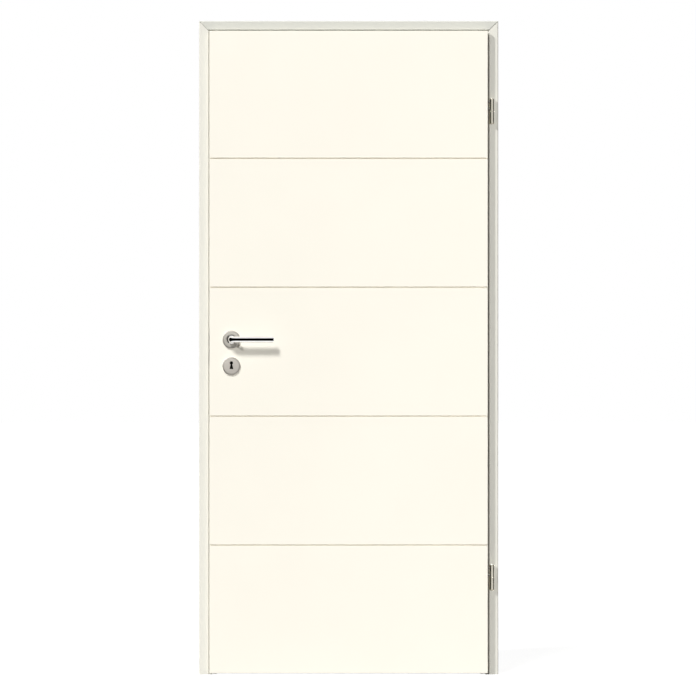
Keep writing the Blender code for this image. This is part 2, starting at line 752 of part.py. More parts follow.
def cut_mortise(core):
    """The pocket for the lock case."""
    case_top = SPINDLE_HEIGHT + CASE_TOP_ABOVE_SPINDLE
    half_case = CASE_THICKNESS / 2 + SEAT_GAP
    cut(core, box_tool(
        "case_mortise",
        (LOCK_EDGE_X - CASE_DEPTH, LOCK_Y - half_case, case_top - CASE_HEIGHT - SEAT_GAP),
        (
            LOCK_EDGE_X + FOREND_THICKNESS + CASE_DEPTH + 2 * SEAT_GAP,
            LOCK_Y + half_case,
            case_top + SEAT_GAP,
        ),
    ))


def cut_forend_bed(piece):
    """The shallow recess that the forend lies flush in."""
    forend_low, forend_high = forend_heights()
    half_forend = FOREND_WIDTH / 2 + SEAT_GAP
    cut(piece, box_tool(
        "forend_bed",
        (LOCK_EDGE_X - CASE_DEPTH, LOCK_Y - half_forend, forend_low - SEAT_GAP),
        (LOCK_EDGE_X + FOREND_THICKNESS + SEAT_GAP, LOCK_Y + half_forend, forend_high + SEAT_GAP),
    ))


def build_lock():
    """A mortise lock with its latch and bolt drawn back, flush with the forend."""
    case_top = SPINDLE_HEIGHT + CASE_TOP_ABOVE_SPINDLE
    case_front_x = LOCK_EDGE_X + FOREND_THICKNESS + SEAT_GAP
    half_case = CASE_THICKNESS / 2
    case = box(
        (case_front_x, LOCK_Y - half_case, case_top - CASE_HEIGHT),
        (case_front_x + CASE_DEPTH, LOCK_Y + half_case, case_top),
    )
    place(case, "lock_case", STEEL, LEAF_AXIS)
    cut(case, cylinder_tool(
        "follower_bore",
        (SPINDLE_X, LOCK_Y - CASE_THICKNESS, SPINDLE_HEIGHT),
        (SPINDLE_X, LOCK_Y + CASE_THICKNESS, SPINDLE_HEIGHT),
        FOLLOWER_RADIUS + RUNNING_GAP,
    ))
    cut(case, keyhole_tool("case_front_keyhole", LOCK_Y - CASE_THICKNESS, LOCK_Y - CASE_WEB / 2))
    cut(case, keyhole_tool("case_back_keyhole", LOCK_Y + CASE_WEB / 2, LOCK_Y + CASE_THICKNESS))

    forend_low, forend_high = forend_heights()
    forend = box(
        (LOCK_EDGE_X, LOCK_Y - FOREND_WIDTH / 2, forend_low),
        (LOCK_EDGE_X + FOREND_THICKNESS, LOCK_Y + FOREND_WIDTH / 2, forend_high),
    )
    place(forend, "lock_forend", STEEL, LEAF_AXIS)

    for name, thickness, height, z in BOLTS:
        half_y = thickness / 2
        half_z = height / 2
        pocket = box_tool(
            name + "_case_pocket",
            (LOCK_EDGE_X - CASE_THICKNESS, LOCK_Y - half_y - SEAT_GAP, z - half_z - SEAT_GAP),
            (LOCK_EDGE_X + BOLT_LENGTH + SEAT_GAP, LOCK_Y + half_y + SEAT_GAP, z + half_z + SEAT_GAP),
        )
        cut(case, pocket)
        cut(forend, pocket)
        bolt = box(
            (LOCK_EDGE_X, LOCK_Y - half_y, z - half_z),
            (LOCK_EDGE_X + BOLT_LENGTH, LOCK_Y + half_y, z + half_z),
        )
        place(bolt, name, STEEL, LEAF_AXIS)


def build_follower():
    """The hub in the lock case that the spindle turns."""
    half = CASE_THICKNESS / 2
    profile = [(0, half), (FOLLOWER_RADIUS, half), (FOLLOWER_RADIUS, -half), (0, -half)]
    place_at = (SPINDLE_X, LOCK_Y, SPINDLE_HEIGHT)
    follower = turned("follower", profile, place_at, (0, -1, 0), False, BARREL_STEPS)
    place(follower, "lock_follower", STEEL, LEVER_AXIS)
    cut(follower, spindle_socket("follower_socket", LOCK_Y - CASE_THICKNESS, LOCK_Y + CASE_THICKNESS))


def spindle_socket(name, low_y, high_y):
    half = SPINDLE_SIDE / 2 + SEAT_GAP
    return box_tool(
        name,
        (SPINDLE_X - half, low_y, SPINDLE_HEIGHT - half),
        (SPINDLE_X + half, high_y, SPINDLE_HEIGHT + half),
    )


def build_spindle():
    """The square bar that joins the two levers through the lock."""
    half = SPINDLE_SIDE / 2
    overlap = NECK_END + SOCKET_DEPTH - SEAT_GAP
    spindle = box(
        (SPINDLE_X - half, LEAF_FRONT_Y - overlap, SPINDLE_HEIGHT - half),
        (SPINDLE_X + half, LEAF_BACK_Y + overlap, SPINDLE_HEIGHT + half),
    )
    place(spindle, "spindle", STEEL, LEVER_AXIS)


def build_lever_rose(face_name, face_y, outwards):
    """The round rose that carries a lever, and the collar set in its face."""
    seat_radius = COLLAR_RADIUS + COLLAR_SHADOW_GAP
    seat_height = ROSE_THICKNESS - COLLAR_SEAT_DEPTH
    bore = LEVER_RADIUS + RUNNING_GAP
    profile = [
        (seat_radius, ROSE_THICKNESS),
        *rim_arc(ROSE_RADIUS, ROSE_THICKNESS, ROSE_RIM),
        (ROSE_RADIUS, SEAT_GAP),
        (bore, SEAT_GAP),
        (bore, seat_height),
        (seat_radius, seat_height),
    ]
    place_at = (SPINDLE_X, face_y, SPINDLE_HEIGHT)
    rose = turned("rose", profile, place_at, (0, outwards, 0), True, ROSE_STEPS)
    place(rose, face_name + "_lever_rose", SATIN_NICKEL, LEAF_AXIS)

    low = seat_height + SEAT_GAP
    high = low + COLLAR_HEIGHT
    collar_profile = [
        (bore, high),
        (COLLAR_RADIUS - COLLAR_BEVEL, high),
        (COLLAR_RADIUS, high - COLLAR_BEVEL),
        (COLLAR_RADIUS, low),
        (bore, low),
    ]
    collar = turned("collar", collar_profile, place_at, (0, outwards, 0), True, ROSE_STEPS)
    place(collar, face_name + "_neck_collar", CHROME, LEAF_AXIS)


def build_key_rose(face_name, face_y, outwards):
    """The round key rose, set a little below the key's axis."""
    profile = [
        (0, ROSE_THICKNESS),
        *rim_arc(ROSE_RADIUS, ROSE_THICKNESS, ROSE_RIM),
        (ROSE_RADIUS, SEAT_GAP),
        (0, SEAT_GAP),
    ]
    place_at = (SPINDLE_X, face_y, KEY_HEIGHT - KEY_ROSE_DROP)
    rose = turned("rose", profile, place_at, (0, outwards, 0), False, ROSE_STEPS)
    place(rose, face_name + "_key_rose", SATIN_NICKEL, LEAF_AXIS)
    ends = sorted((face_y - outwards * ROSE_THICKNESS, face_y + outwards * 2 * ROSE_THICKNESS))
    cut(rose, keyhole_tool(face_name + "_rose_keyhole", ends[0], ends[1]))


def lever_path():
    """Centre line of a lever as (along, out) points: out of the rose, then round to the tip."""
    points = [(0, NECK_END), (0, LEVER_PROJECTION - LEVER_BEND_RADIUS)]
    for step in range(1, BEND_STEPS + 1):
        angle = step / BEND_STEPS * math.pi / 2
        points.append((
            LEVER_BEND_RADIUS * (1 - math.cos(angle)),
            LEVER_PROJECTION - LEVER_BEND_RADIUS * (1 - math.sin(angle)),
        ))
    points.append((LEVER_REACH - LEVER_TIP_BEVEL, LEVER_PROJECTION))
    points.append((LEVER_REACH, LEVER_PROJECTION))
    return points


def build_lever(face_name, face_y, outwards):
    """A round bar bent at a right angle, square-socketed on the spindle."""
    curve = bpy.data.curves.new("lever", "CURVE")
    curve.dimensions = "3D"
    curve.bevel_depth = LEVER_RADIUS
    curve.bevel_resolution = LEVER_SIDES_RESOLUTION
    curve.use_fill_caps = True
    points = lever_path()
    spline = curve.splines.new("POLY")
    spline.points.add(len(points) - 1)
    for point, (along, out) in zip(spline.points, points):
        point.co = (SPINDLE_X + along, face_y + outwards * out, SPINDLE_HEIGHT, 1.0)
    spline.points[-1].radius = 1 - LEVER_TIP_BEVEL / LEVER_RADIUS
    mesh = welded_mesh(link_mesh("lever", curve, TOOLS))
    lever = place(link_mesh("lever", mesh, PARTS), face_name + "_lever", CHROME, LEVER_AXIS)
    mouth = face_y + outwards * NECK_END
    ends = sorted((mouth - outwards * NECK_END, mouth + outwards * SOCKET_DEPTH))
    cut(lever, spindle_socket(face_name + "_lever_socket", ends[0], ends[1]))


clear_scene()
PARTS = make_collection("interior_door")
TOOLS = make_collection("cutters")

FRAME_PAINT = make_material("frame_paint", (0.85, 0.84, 0.78), 0.45)
LEAF_PAINT = make_material("leaf_paint", (0.93, 0.90, 0.80), 0.42)
SEAL_RUBBER = make_material("seal_rubber", (0.75, 0.74, 0.70), 0.75)
NICKEL = make_material("hinge_nickel", (0.62, 0.60, 0.52), 0.25, 1.0)
SATIN_NICKEL = make_material("satin_nickel", (0.58, 0.54, 0.49), 0.42, 1.0)
CHROME = make_material("chrome", (0.85, 0.85, 0.85), 0.06, 1.0)
STEEL = make_material("steel", (0.60, 0.60, 0.58), 0.35, 1.0)

LEAF_AXIS = make_axis("leaf_hinge_axis", (HINGE_X, HINGE_Y, 0))
LEVER_AXIS = make_axis("lever_turn_axis", (SPINDLE_X, LOCK_Y, SPINDLE_HEIGHT), LEAF_AXIS)

build_linings()
build_front_architraves()
build_back_architraves()
build_seals()
build_strike_plate()
build_leaf()
build_lock()
build_follower()
build_spindle()
for hinge, hinge_line in HINGES:
    build_hinge(hinge, hinge_line)
for face, surface_y, direction in FACES:
    build_lever_rose(face, surface_y, direction)
    build_key_rose(face, surface_y, direction)
    build_lever(face, surface_y, direction)
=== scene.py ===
"""Looks of the interior door: lacquered leaf and frame, satin and chrome fittings, studio, camera.

Metres, in the part's own frame: +X towards the hinge side, +Y through the wall, +Z up.
"""
import json
import math

import bmesh
import bpy
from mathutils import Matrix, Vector

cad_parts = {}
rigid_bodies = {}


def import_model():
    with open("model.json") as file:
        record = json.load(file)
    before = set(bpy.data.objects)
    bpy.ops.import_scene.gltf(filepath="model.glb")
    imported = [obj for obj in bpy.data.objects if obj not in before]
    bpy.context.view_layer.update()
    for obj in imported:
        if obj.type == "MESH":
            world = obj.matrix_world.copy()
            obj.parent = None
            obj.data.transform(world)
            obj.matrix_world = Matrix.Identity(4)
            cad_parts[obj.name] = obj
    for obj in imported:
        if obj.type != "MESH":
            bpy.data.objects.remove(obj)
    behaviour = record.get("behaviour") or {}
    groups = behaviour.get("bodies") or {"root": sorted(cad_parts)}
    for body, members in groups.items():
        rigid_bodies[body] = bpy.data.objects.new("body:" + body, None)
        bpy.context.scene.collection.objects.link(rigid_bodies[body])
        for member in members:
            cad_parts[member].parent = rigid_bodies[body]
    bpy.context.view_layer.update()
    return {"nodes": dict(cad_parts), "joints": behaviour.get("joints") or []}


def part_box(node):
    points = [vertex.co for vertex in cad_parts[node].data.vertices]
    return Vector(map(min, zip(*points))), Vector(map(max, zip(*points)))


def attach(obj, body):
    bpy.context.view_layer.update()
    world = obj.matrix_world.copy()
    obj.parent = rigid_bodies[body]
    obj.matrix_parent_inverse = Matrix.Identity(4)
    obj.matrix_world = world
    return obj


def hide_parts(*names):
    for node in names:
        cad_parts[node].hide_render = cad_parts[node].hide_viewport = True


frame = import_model()

# Photograph
PICTURE_WIDTH = 2.15
CAMERA_DISTANCE = 12.0
CAMERA_X = -0.4210
CAMERA_Z = 1.010
SENSOR_WIDTH = 36.0
CAMERA_CLIP_END = 120.0

# Leaf
LIP_THICKNESS = 0.015
LEAF_EDGE_ROUNDING = 0.0012
GROOVE_COUNT = 4
FIRST_GROOVE_HEIGHT = 0.396
GROOVE_SPACING = 0.3983
GROOVE_WIDTH = 0.0036
GROOVE_DEPTH = 0.0043
GROOVE_CHAMFER = 0.0002
SKIN_OVERLAP = 0.002

# Frame
ARCHITRAVE_ROUNDING = 0.003
LINING_ROUNDING = 0.001
EDGE_GROOVE_START = 0.0064
EDGE_GROOVE_LOCK_END = 0.0104
EDGE_GROOVE_HINGE_END = 0.0088
EDGE_GROOVE_HEAD_END = 0.0128
EDGE_GROOVE_DEPTH = 0.007
BAR_BEVEL = 0.0006
MITRE_GAP = 0.00015
MITRE_LINE_WIDTH = 0.0012
MITRE_LINE_DEPTH = 0.004
MITRE_LINE_REACH = 0.1
TONGUE_THICKNESS = 0.004
TONGUE_DEPTH = 0.018
SEAL_INSET = 0.005
SEAL_STEM_WIDTH = 0.003
SEAL_STEM_DEPTH = 0.006
SEAL_BEAD_RADIUS = 0.0012
SEAL_BEAD_HALF = 0.003
SEAT_GAP = 0.0003

# Hinges
BARREL_RADIUS = 0.0075
KNUCKLE_LENGTH = 0.040
PIN_RADIUS = 0.004
PIN_CAP_HEIGHT = 0.003
KNUCKLE_EDGE_ROUNDING = 0.0008
KNUCKLE_CROWN = 0.002
STUD_RADIUS = 0.003
STUD_SPACING = 0.022
STUD_COLLAR_RADIUS = 0.0042
STUD_COLLAR_LENGTH = 0.0012

# Lock
PASSAGE_RADIUS = 0.0105
KEY_PASSAGE_WIDTH = 0.014
KEY_PASSAGE_HEIGHT = 0.034
KEY_PASSAGE_DROP = 0.007
SCREW_RADIUS = 0.0036
SCREW_INSET = 0.011
SCREW_SLOT = 0.0009
SCREW_RECESS = 0.0011
SCREW_CROSS_SHARE = 0.6
STRIKE_THICKNESS = 0.002
KEEP_CLEARANCE = 0.001
KEEP_DEPTH = 0.022
PLATE_BEVEL = 0.0003

# Lever sets
ROSE_RIM = 0.003
ROSE_FACE_CROWN = 0.0002
COLLAR_RADIUS = 0.0140
COLLAR_HEIGHT = 0.0034
COLLAR_RIM = 0.0006
COLLAR_SEAT_DEPTH = 0.0036
COLLAR_SHADOW_GAP = 0.0020
LEVER_RADIUS = 0.0095
LEVER_BEND_RADIUS = 0.014
LEVER_TIP_ROUNDING = 0.0022
LEVER_TIP_EXTRA = 0.003
NECK_END = 0.0025
SOCKET_HALF = 0.0043
SOCKET_DEPTH = 0.025
RUNNING_GAP = 0.0005
GRUB_OUT = 0.0165
GRUB_RADIUS = 0.0022
GRUB_SINK = 0.0012
GRUB_HEX_RADIUS = 0.0011
KEY_ROSE_DROP = 0.010
KEYHOLE_RADIUS = 0.0052
KEYHOLE_NECK = 0.0050
KEYHOLE_FOOT = 0.0120
KEYHOLE_DROP = 0.019

# Fineness
TURN_STEPS = 96
ARC_STEPS = 8
BEND_STEPS = 28
LEVER_RESOLUTION = 14
KEYHOLE_STEPS = 40
STUD_STEPS = 40
HEXAGON_STEPS = 6
ROUNDING_SEGMENTS = 3
ROUND_PROFILE = 0.5
ARRIS_SEGMENTS = 2
WELD_DISTANCE = 0.000002
SHARP_ANGLE = math.radians(38)
FLAT_COSINE = 0.97

# Colours, linear
LEAF_CREAM = (0.955, 0.915, 0.812)
FRAME_WHITE = (0.768, 0.752, 0.680)
# The head bar's copy of the frame lacquer, painted darker as shade; it is the same paint as the uprights
HEAD_WHITE_PAINTED_SHADE = (0.632, 0.632, 0.575)
SEAL_GREY = (0.60, 0.59, 0.54)
BOARD_BROWN = (0.42, 0.31, 0.19)
SPRUCE = (0.62, 0.47, 0.29)
NICKEL = (0.62, 0.59, 0.50)
SATIN = (0.60, 0.565, 0.515)
# The lever rose's copy of the key rose's satin, painted a little darker as shade
SATIN_PAINTED_SHADE_BY_LEVER = (0.58, 0.555, 0.50)
CHROME = (0.90, 0.90, 0.90)
ZINC = (0.58, 0.58, 0.55)
# Steel of the hinge studs, painted dark as the shade in the gap between the leaf's edge and the barrels
STUD_STEEL_PAINTED_SHADE = (0.17, 0.165, 0.15)
# Blackened steel for the lock's inner parts, near black so that it also stands in as painted shade inside
# the keyhole
BLACKENED_AND_SHADE = (0.03, 0.03, 0.03)
WHITE = (1.0, 1.0, 1.0)

# Finishes: shades are the darkest and lightest share of a colour, reliefs a strength and a depth
NOISE_DETAIL = 3.0
NOISE_LOW = 0.3
NOISE_HIGH = 0.7
EVEN_GRAIN = (1.0, 1.0, 1.0)
UPRIGHT_GRAIN = (1.0, 1.0, 0.08)
LEVEL_GRAIN = (0.08, 1.0, 1.0)
LACQUER_ROUGHNESS = 0.42
LACQUER_ROUGHNESS_LOW = 0.38
LACQUER_ROUGHNESS_HIGH = 0.46
LACQUER_SPECULAR = 0.4
LACQUER_SHADES = (0.988, 1.006)
LACQUER_CLOUD_SCALE = 2.2
LACQUER_SHEEN_SCALE = 9.0
PEEL_SCALE = 520.0
PEEL_DETAIL = 2.0
PEEL_RELIEF = (0.05, 0.0004)
BOARD_ROUGHNESS = 0.88
BOARD_SHADES = (0.66, 1.5)
FLAKE_SCALE = 420.0
FLAKE_DETAIL = 5.0
FLAKE_RELIEF = (0.5, 0.0006)
SPRUCE_ROUGHNESS = 0.8
SPRUCE_SHADES = (0.72, 1.15)
SPRUCE_SCALE = 60.0
SPRUCE_DETAIL = 6.0
SPRUCE_GRAIN = (0.06, 1.0, 1.0)
SPRUCE_RELIEF = (0.4, 0.0004)
SEAL_ROUGHNESS = 0.72
SEAL_SHADES = (0.93, 1.0)
SEAL_CLOUD_SCALE = 30.0
SEAL_SKIN_SCALE = 1400.0
SEAL_SKIN_DETAIL = 2.0
SEAL_RELIEF = (0.12, 0.0002)
BRUSH_SCALE = 900.0
BRUSH_DETAIL = 4.0
BRUSH_CLOUD_SCALE = 120.0
BRUSH_SHADES = (0.95, 1.0)
BRUSH_ROUGHNESS_SPREAD = 0.05
BRUSH_RELIEF = (0.10, 0.00005)
RING_SCALE = 2600.0
# Shares of the rose colour at the rim, painted darker as shade, and on the face
RIM_PAINTED_SHADES = (0.70, 1.0)
RING_ROUGHNESS_SPREAD = 0.06
RING_RELIEF = (0.12, 0.00005)
HAZE_SCALE = 70.0
HAZE_ROUGHNESS = 0.04
PLATING_SCALE = 40.0
PLATING_SHADES = (0.97, 1.0)
SATIN_ROUGHNESS = 0.58
CHROME_ROUGHNESS = 0.04
NICKEL_ROUGHNESS = 0.08
BLACKENED_ROUGHNESS = 0.5
ZINC_ROUGHNESS = 0.36
ZINC_GRAIN = (1.0, 1.0, 0.05)
STUD_ROUGHNESS = 0.45

# Studio
KEY_TRAVEL = (0.30, 1.0, -0.76)
KEY_STRENGTH = 2.23
KEY_SOFTNESS = math.radians(11)
SIDE_TRAVEL = (1.22, 1.0, -1.05)
SIDE_STRENGTH = 2.35
SIDE_SOFTNESS = math.radians(3)
BACK_TRAVEL = (-0.60, -1.0, -0.70)
BACK_STRENGTH = 3.30
BACK_SOFTNESS = math.radians(20)
AMBIENT = 0.06
FLOOR_HALF = 40.0
FLOOR_COLOUR = (0.18, 0.18, 0.177)
FLOOR_ROUGHNESS = 0.9
FLOOR_GLOW = 0.95
CARD_STEPS = 24
CARD_LOW = 0.02
CARD_HIGH = 2.05
LEVER_CARD_RADIUS = 0.95
LEVER_CARD_AZIMUTH = math.radians(-64)
LEVER_CARD_HALF = math.radians(86)
HINGE_CARD_RADIUS = 1.2
HINGE_CARD_AZIMUTH = math.radians(82)
HINGE_CARD_HALF = math.radians(28)

# Places taken from the frame
LEAF_LOW, LEAF_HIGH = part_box("leaf_front_board")
CORE_LOW, CORE_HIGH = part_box("leaf_back_board")
LEAF_FRONT_Y = LEAF_LOW.y
LEAF_BACK_Y = CORE_HIGH.y
LIP_BACK_Y = LEAF_FRONT_Y + LIP_THICKNESS
CENTRE_X = (LEAF_LOW.x + LEAF_HIGH.x) / 2
WALL_FRONT_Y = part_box("lining_head")[0].y
WALL_BACK_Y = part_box("lining_head")[1].y
FRAME_FRONT_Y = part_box("front_architrave_head")[0].y
FRAME_BACK_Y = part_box("back_architrave_head")[1].y
CLEAR_HALF = CENTRE_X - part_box("lining_lock_side")[1].x
CLEAR_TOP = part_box("lining_head")[0].z
LINING_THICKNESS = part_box("lining_head")[1].z - CLEAR_TOP
TONGUE_LOW = (LINING_THICKNESS - TONGUE_THICKNESS) / 2
TONGUE_HIGH = (LINING_THICKNESS + TONGUE_THICKNESS) / 2
REBATE_HALF = CENTRE_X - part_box("front_architrave_lock_side")[1].x
REBATE_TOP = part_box("front_architrave_head")[0].z
FRONT_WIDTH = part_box("front_architrave_head")[1].z - REBATE_TOP
BACK_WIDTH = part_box("back_architrave_head")[1].z - CLEAR_TOP
JOINTS = {joint["name"]: joint for joint in frame["joints"]}
HINGE_X, HINGE_Y = JOINTS["leaf_swing"]["pos_m"][:2]
SPINDLE_X, LOCK_Y, SPINDLE_Z = JOINTS["lever_turn"]["pos_m"]
KEY_ROSE_Z = sum(corner.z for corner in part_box("front_key_rose")) / 2
KEY_Z = KEY_ROSE_Z + KEY_ROSE_DROP
ROSE_RADIUS = (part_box("front_lever_rose")[1].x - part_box("front_lever_rose")[0].x) / 2
ROSE_THICKNESS = LEAF_FRONT_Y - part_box("front_lever_rose")[0].y
LEVER_TIP_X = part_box("front_lever")[1].x + LEVER_TIP_EXTRA
LEVER_PROJECTION = LEAF_FRONT_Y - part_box("front_lever")[0].y - LEVER_RADIUS

SIDES = (("lock_side", -1), ("hinge_side", 1))
FACES = (("front", LEAF_FRONT_Y, -1), ("back", LEAF_BACK_Y, 1))
HINGES = ("upper_hinge", "lower_hinge")
BARREL_PARTS = ("_upper_barrel", "_lower_barrel", "_capped_pin")
POLISHED_PARTS = ("_polished_lever", "_polished_collar")
ROSE_PARTS = ("_round_lever_rose", "_round_key_rose")
PLATES = ("strike_plate", "lock_forend", "latch_bolt", "dead_bolt")
INNER_PARTS = ("lock_case", "spindle", "lock_follower")


# Materials
def new_material(name, colour, roughness, metallic=0.0):
    material = bpy.data.materials.new(name)
    material.use_nodes = True
    shader = material.node_tree.nodes["Principled BSDF"]
    shader.inputs["Base Color"].default_value = (*colour, 1.0)
    shader.inputs["Roughness"].default_value = roughness
    shader.inputs["Metallic"].default_value = metallic
    return material


def add_node(material, kind, **values):
    """A new node whose inputs take the given values; underscores in their names stand for spaces."""
    node = material.node_tree.nodes.new(kind)
    for key, value in values.items():
        node.inputs[key.replace("_", " ")].default_value = value
    return node


def wire(material, source, target):
    material.node_tree.links.new(source, target)


def noise(material, scale, detail=NOISE_DETAIL, stretch=EVEN_GRAIN):
    """Noise over the piece's own coordinates, in metres, stretched along an axis where wanted."""
    place = material.node_tree.nodes.new("ShaderNodeTexCoord")
    mapping = add_node(material, "ShaderNodeMapping", Scale=stretch)
    pattern = add_node(material, "ShaderNodeTexNoise", Scale=scale, Detail=detail)
    wire(material, place.outputs["Object"], mapping.inputs["Vector"])
    wire(material, mapping.outputs["Vector"], pattern.inputs["Vector"])
    return pattern.outputs["Fac"]


def spread(material, value, low, high, low_in=NOISE_LOW, high_in=NOISE_HIGH):
    """Maps a pattern's usual range, or the range given, to another one."""
    node = add_node(
        material, "ShaderNodeMapRange", From_Min=low_in, From_Max=high_in, To_Min=low, To_Max=high
    )
    wire(material, value, node.inputs["Value"])
    return node.outputs["Result"]


def clouds(material, scale):
    """Soft patches, from 0 to 1."""
    return spread(material, noise(material, scale), 0.0, 1.0)


def scaled(colour, factor):
    return tuple(min(channel * factor, 1.0) for channel in colour)


def tint(material, value, colour, shades):
    """Base colour between two shades of a colour, by a pattern."""
    mix = material.node_tree.nodes.new("ShaderNodeMix")
    mix.data_type = "RGBA"
    mix.inputs["A"].default_value = (*scaled(colour, shades[0]), 1.0)
    mix.inputs["B"].default_value = (*scaled(colour, shades[1]), 1.0)
    wire(material, value, mix.inputs["Factor"])
    shader = material.node_tree.nodes["Principled BSDF"]
    wire(material, mix.outputs["Result"], shader.inputs["Base Color"])


def roughen(material, value):
    wire(material, value, material.node_tree.nodes["Principled BSDF"].inputs["Roughness"])


def roughen_around(material, marks, roughness, difference):
    """Roughness a little under and over a middle value, by a pattern."""
    roughen(material, spread(material, marks, roughness - difference, roughness + difference))


def emboss(material, height, strength, distance):
    node = add_node(material, "ShaderNodeBump", Strength=strength, Distance=distance)
    wire(material, height, node.inputs["Height"])
    wire(material, node.outputs["Normal"], material.node_tree.nodes["Principled BSDF"].inputs["Normal"])


def lacquer(name, colour, stretch=EVEN_GRAIN):
    """Sprayed satin lacquer: an even tone, a slight cloudiness and a very fine orange peel."""
    material = new_material(name, colour, LACQUER_ROUGHNESS)
    shader = material.node_tree.nodes["Principled BSDF"]
    shader.inputs["Specular IOR Level"].default_value = LACQUER_SPECULAR
    tint(material, clouds(material, LACQUER_CLOUD_SCALE), colour, LACQUER_SHADES)
    sheen = noise(material, LACQUER_SHEEN_SCALE)
    roughen(material, spread(material, sheen, LACQUER_ROUGHNESS_LOW, LACQUER_ROUGHNESS_HIGH))
    emboss(material, noise(material, PEEL_SCALE, PEEL_DETAIL, stretch), *PEEL_RELIEF)
    return material


def raw_board(name):
    """Unpainted chipboard: pressed flakes in several browns."""
    material = new_material(name, BOARD_BROWN, BOARD_ROUGHNESS)
    place = material.node_tree.nodes.new("ShaderNodeTexCoord")
    flakes = add_node(material, "ShaderNodeTexVoronoi", Scale=FLAKE_SCALE)
    wire(material, place.outputs["Object"], flakes.inputs["Vector"])
    tint(material, flakes.outputs["Color"], BOARD_BROWN, BOARD_SHADES)
    emboss(material, noise(material, FLAKE_SCALE, FLAKE_DETAIL), *FLAKE_RELIEF)
    return material


def raw_spruce(name):
    """The unpainted softwood rail in the leaf's foot."""
    material = new_material(name, SPRUCE, SPRUCE_ROUGHNESS)
    grain = noise(material, SPRUCE_SCALE, SPRUCE_DETAIL, SPRUCE_GRAIN)
    tint(material, spread(material, grain, 0.0, 1.0), SPRUCE, SPRUCE_SHADES)
    emboss(material, grain, *SPRUCE_RELIEF)
    return material


def soft_strip(name):
    """Extruded grey thermoplastic seal."""
    material = new_material(name, SEAL_GREY, SEAL_ROUGHNESS)
    tint(material, clouds(material, SEAL_CLOUD_SCALE), SEAL_GREY, SEAL_SHADES)
    emboss(material, noise(material, SEAL_SKIN_SCALE, SEAL_SKIN_DETAIL), *SEAL_RELIEF)
    return material


def brushed_metal(name, colour, roughness, stretch=EVEN_GRAIN):
    """Satin metal with fine marks, drawn out along one direction where it is brushed."""
    material = new_material(name, colour, roughness, 1.0)
    marks = noise(material, BRUSH_SCALE, BRUSH_DETAIL, stretch)
    tint(material, clouds(material, BRUSH_CLOUD_SCALE), colour, BRUSH_SHADES)
    roughen_around(material, marks, roughness, BRUSH_ROUGHNESS_SPREAD)
    emboss(material, marks, *BRUSH_RELIEF)
    return material


def turned_metal(name, colour, roughness, centre_z):
    """Satin metal with fine turned rings round an axis at the spindle's x, and its rim painted darker as
    shade.
    """
    material = new_material(name, colour, roughness, 1.0)
    nodes = material.node_tree.nodes
    place = nodes.new("ShaderNodeTexCoord")
    flatten = add_node(material, "ShaderNodeMapping", Scale=(1.0, 0.0, 1.0))
    distance = nodes.new("ShaderNodeVectorMath")
    distance.operation = "DISTANCE"
    distance.inputs[1].default_value = (SPINDLE_X, 0.0, centre_z)
    rings = nodes.new("ShaderNodeTexNoise")
    rings.noise_dimensions = "1D"
    rings.inputs["Scale"].default_value = RING_SCALE
    wire(material, place.outputs["Object"], flatten.inputs["Vector"])
    wire(material, flatten.outputs["Vector"], distance.inputs[0])
    wire(material, distance.outputs["Value"], rings.inputs["W"])
    marks = rings.outputs["Fac"]
    rim_start = ROSE_RADIUS - 2 * ROSE_RIM
    # The outer rim band is painted darker than the face: painted shade on the rim's rounding
    inside = spread(material, distance.outputs["Value"], 1.0, 0.0, rim_start, rim_start + ROSE_RIM)
    tint(material, inside, colour, RIM_PAINTED_SHADES)
    roughen_around(material, marks, roughness, RING_ROUGHNESS_SPREAD)
    emboss(material, marks, *RING_RELIEF)
    return material


def polished_metal(name, colour, roughness):
    """Plated metal with the faint haze that handling leaves."""
    material = new_material(name, colour, roughness, 1.0)
    roughen(material, spread(material, noise(material, HAZE_SCALE), roughness, roughness + HAZE_ROUGHNESS))
    tint(material, clouds(material, PLATING_SCALE), colour, PLATING_SHADES)
    return material


# Shapes
def link_piece(name, mesh, location=(0, 0, 0), rotation=(0, 0, 0)):
    piece = bpy.data.objects.new(name, mesh)
    piece.location = location
    piece.rotation_euler = rotation
    bpy.context.scene.collection.objects.link(piece)
    return piece


def link_shape(name, shape, location=(0, 0, 0), rotation=(0, 0, 0)):
    """Makes an object of a shape that is done, and frees the shape."""
    mesh = bpy.data.meshes.new(name)
    shape.to_mesh(mesh)
    shape.free()
    return link_piece(name, mesh, location, rotation)


def quarter_turn(steps=ARC_STEPS):
    """Angles from 0 to a right angle."""
    return [step / steps * math.pi / 2 for step in range(steps + 1)]


def bake(piece):
    """Applies the modifiers and the transform, welds the mesh and keeps the material indices."""
    bpy.context.view_layer.update()
    evaluated = piece.evaluated_get(bpy.context.evaluated_depsgraph_get())
    mesh = bpy.data.meshes.new_from_object(evaluated)
    mesh.transform(piece.matrix_world)
    shape = bmesh.new()
    shape.from_mesh(mesh)
    bmesh.ops.remove_doubles(shape, verts=shape.verts, dist=WELD_DISTANCE)
    shape.to_mesh(mesh)
    shape.free()
    name = piece.name
    bpy.data.objects.remove(piece, do_unlink=True)
    mesh.name = name
    return link_piece(name, mesh)


def soften(piece, width):
    """Bevels a piece's arrises."""
    bevel = piece.modifiers.new("arrises", "BEVEL")
    bevel.width = width
    bevel.segments = ARRIS_SEGMENTS
    bevel.limit_method = "ANGLE"
    bevel.angle_limit = SHARP_ANGLE


def smooth(piece, flat_faces_stay_flat=False):
    piece.data.shade_smooth()
    piece.data.set_sharp_from_angle(angle=SHARP_ANGLE)
    if flat_faces_stay_flat:
        weighted = piece.modifiers.new("even_normals", "WEIGHTED_NORMAL")
        weighted.keep_sharp = True
    return piece


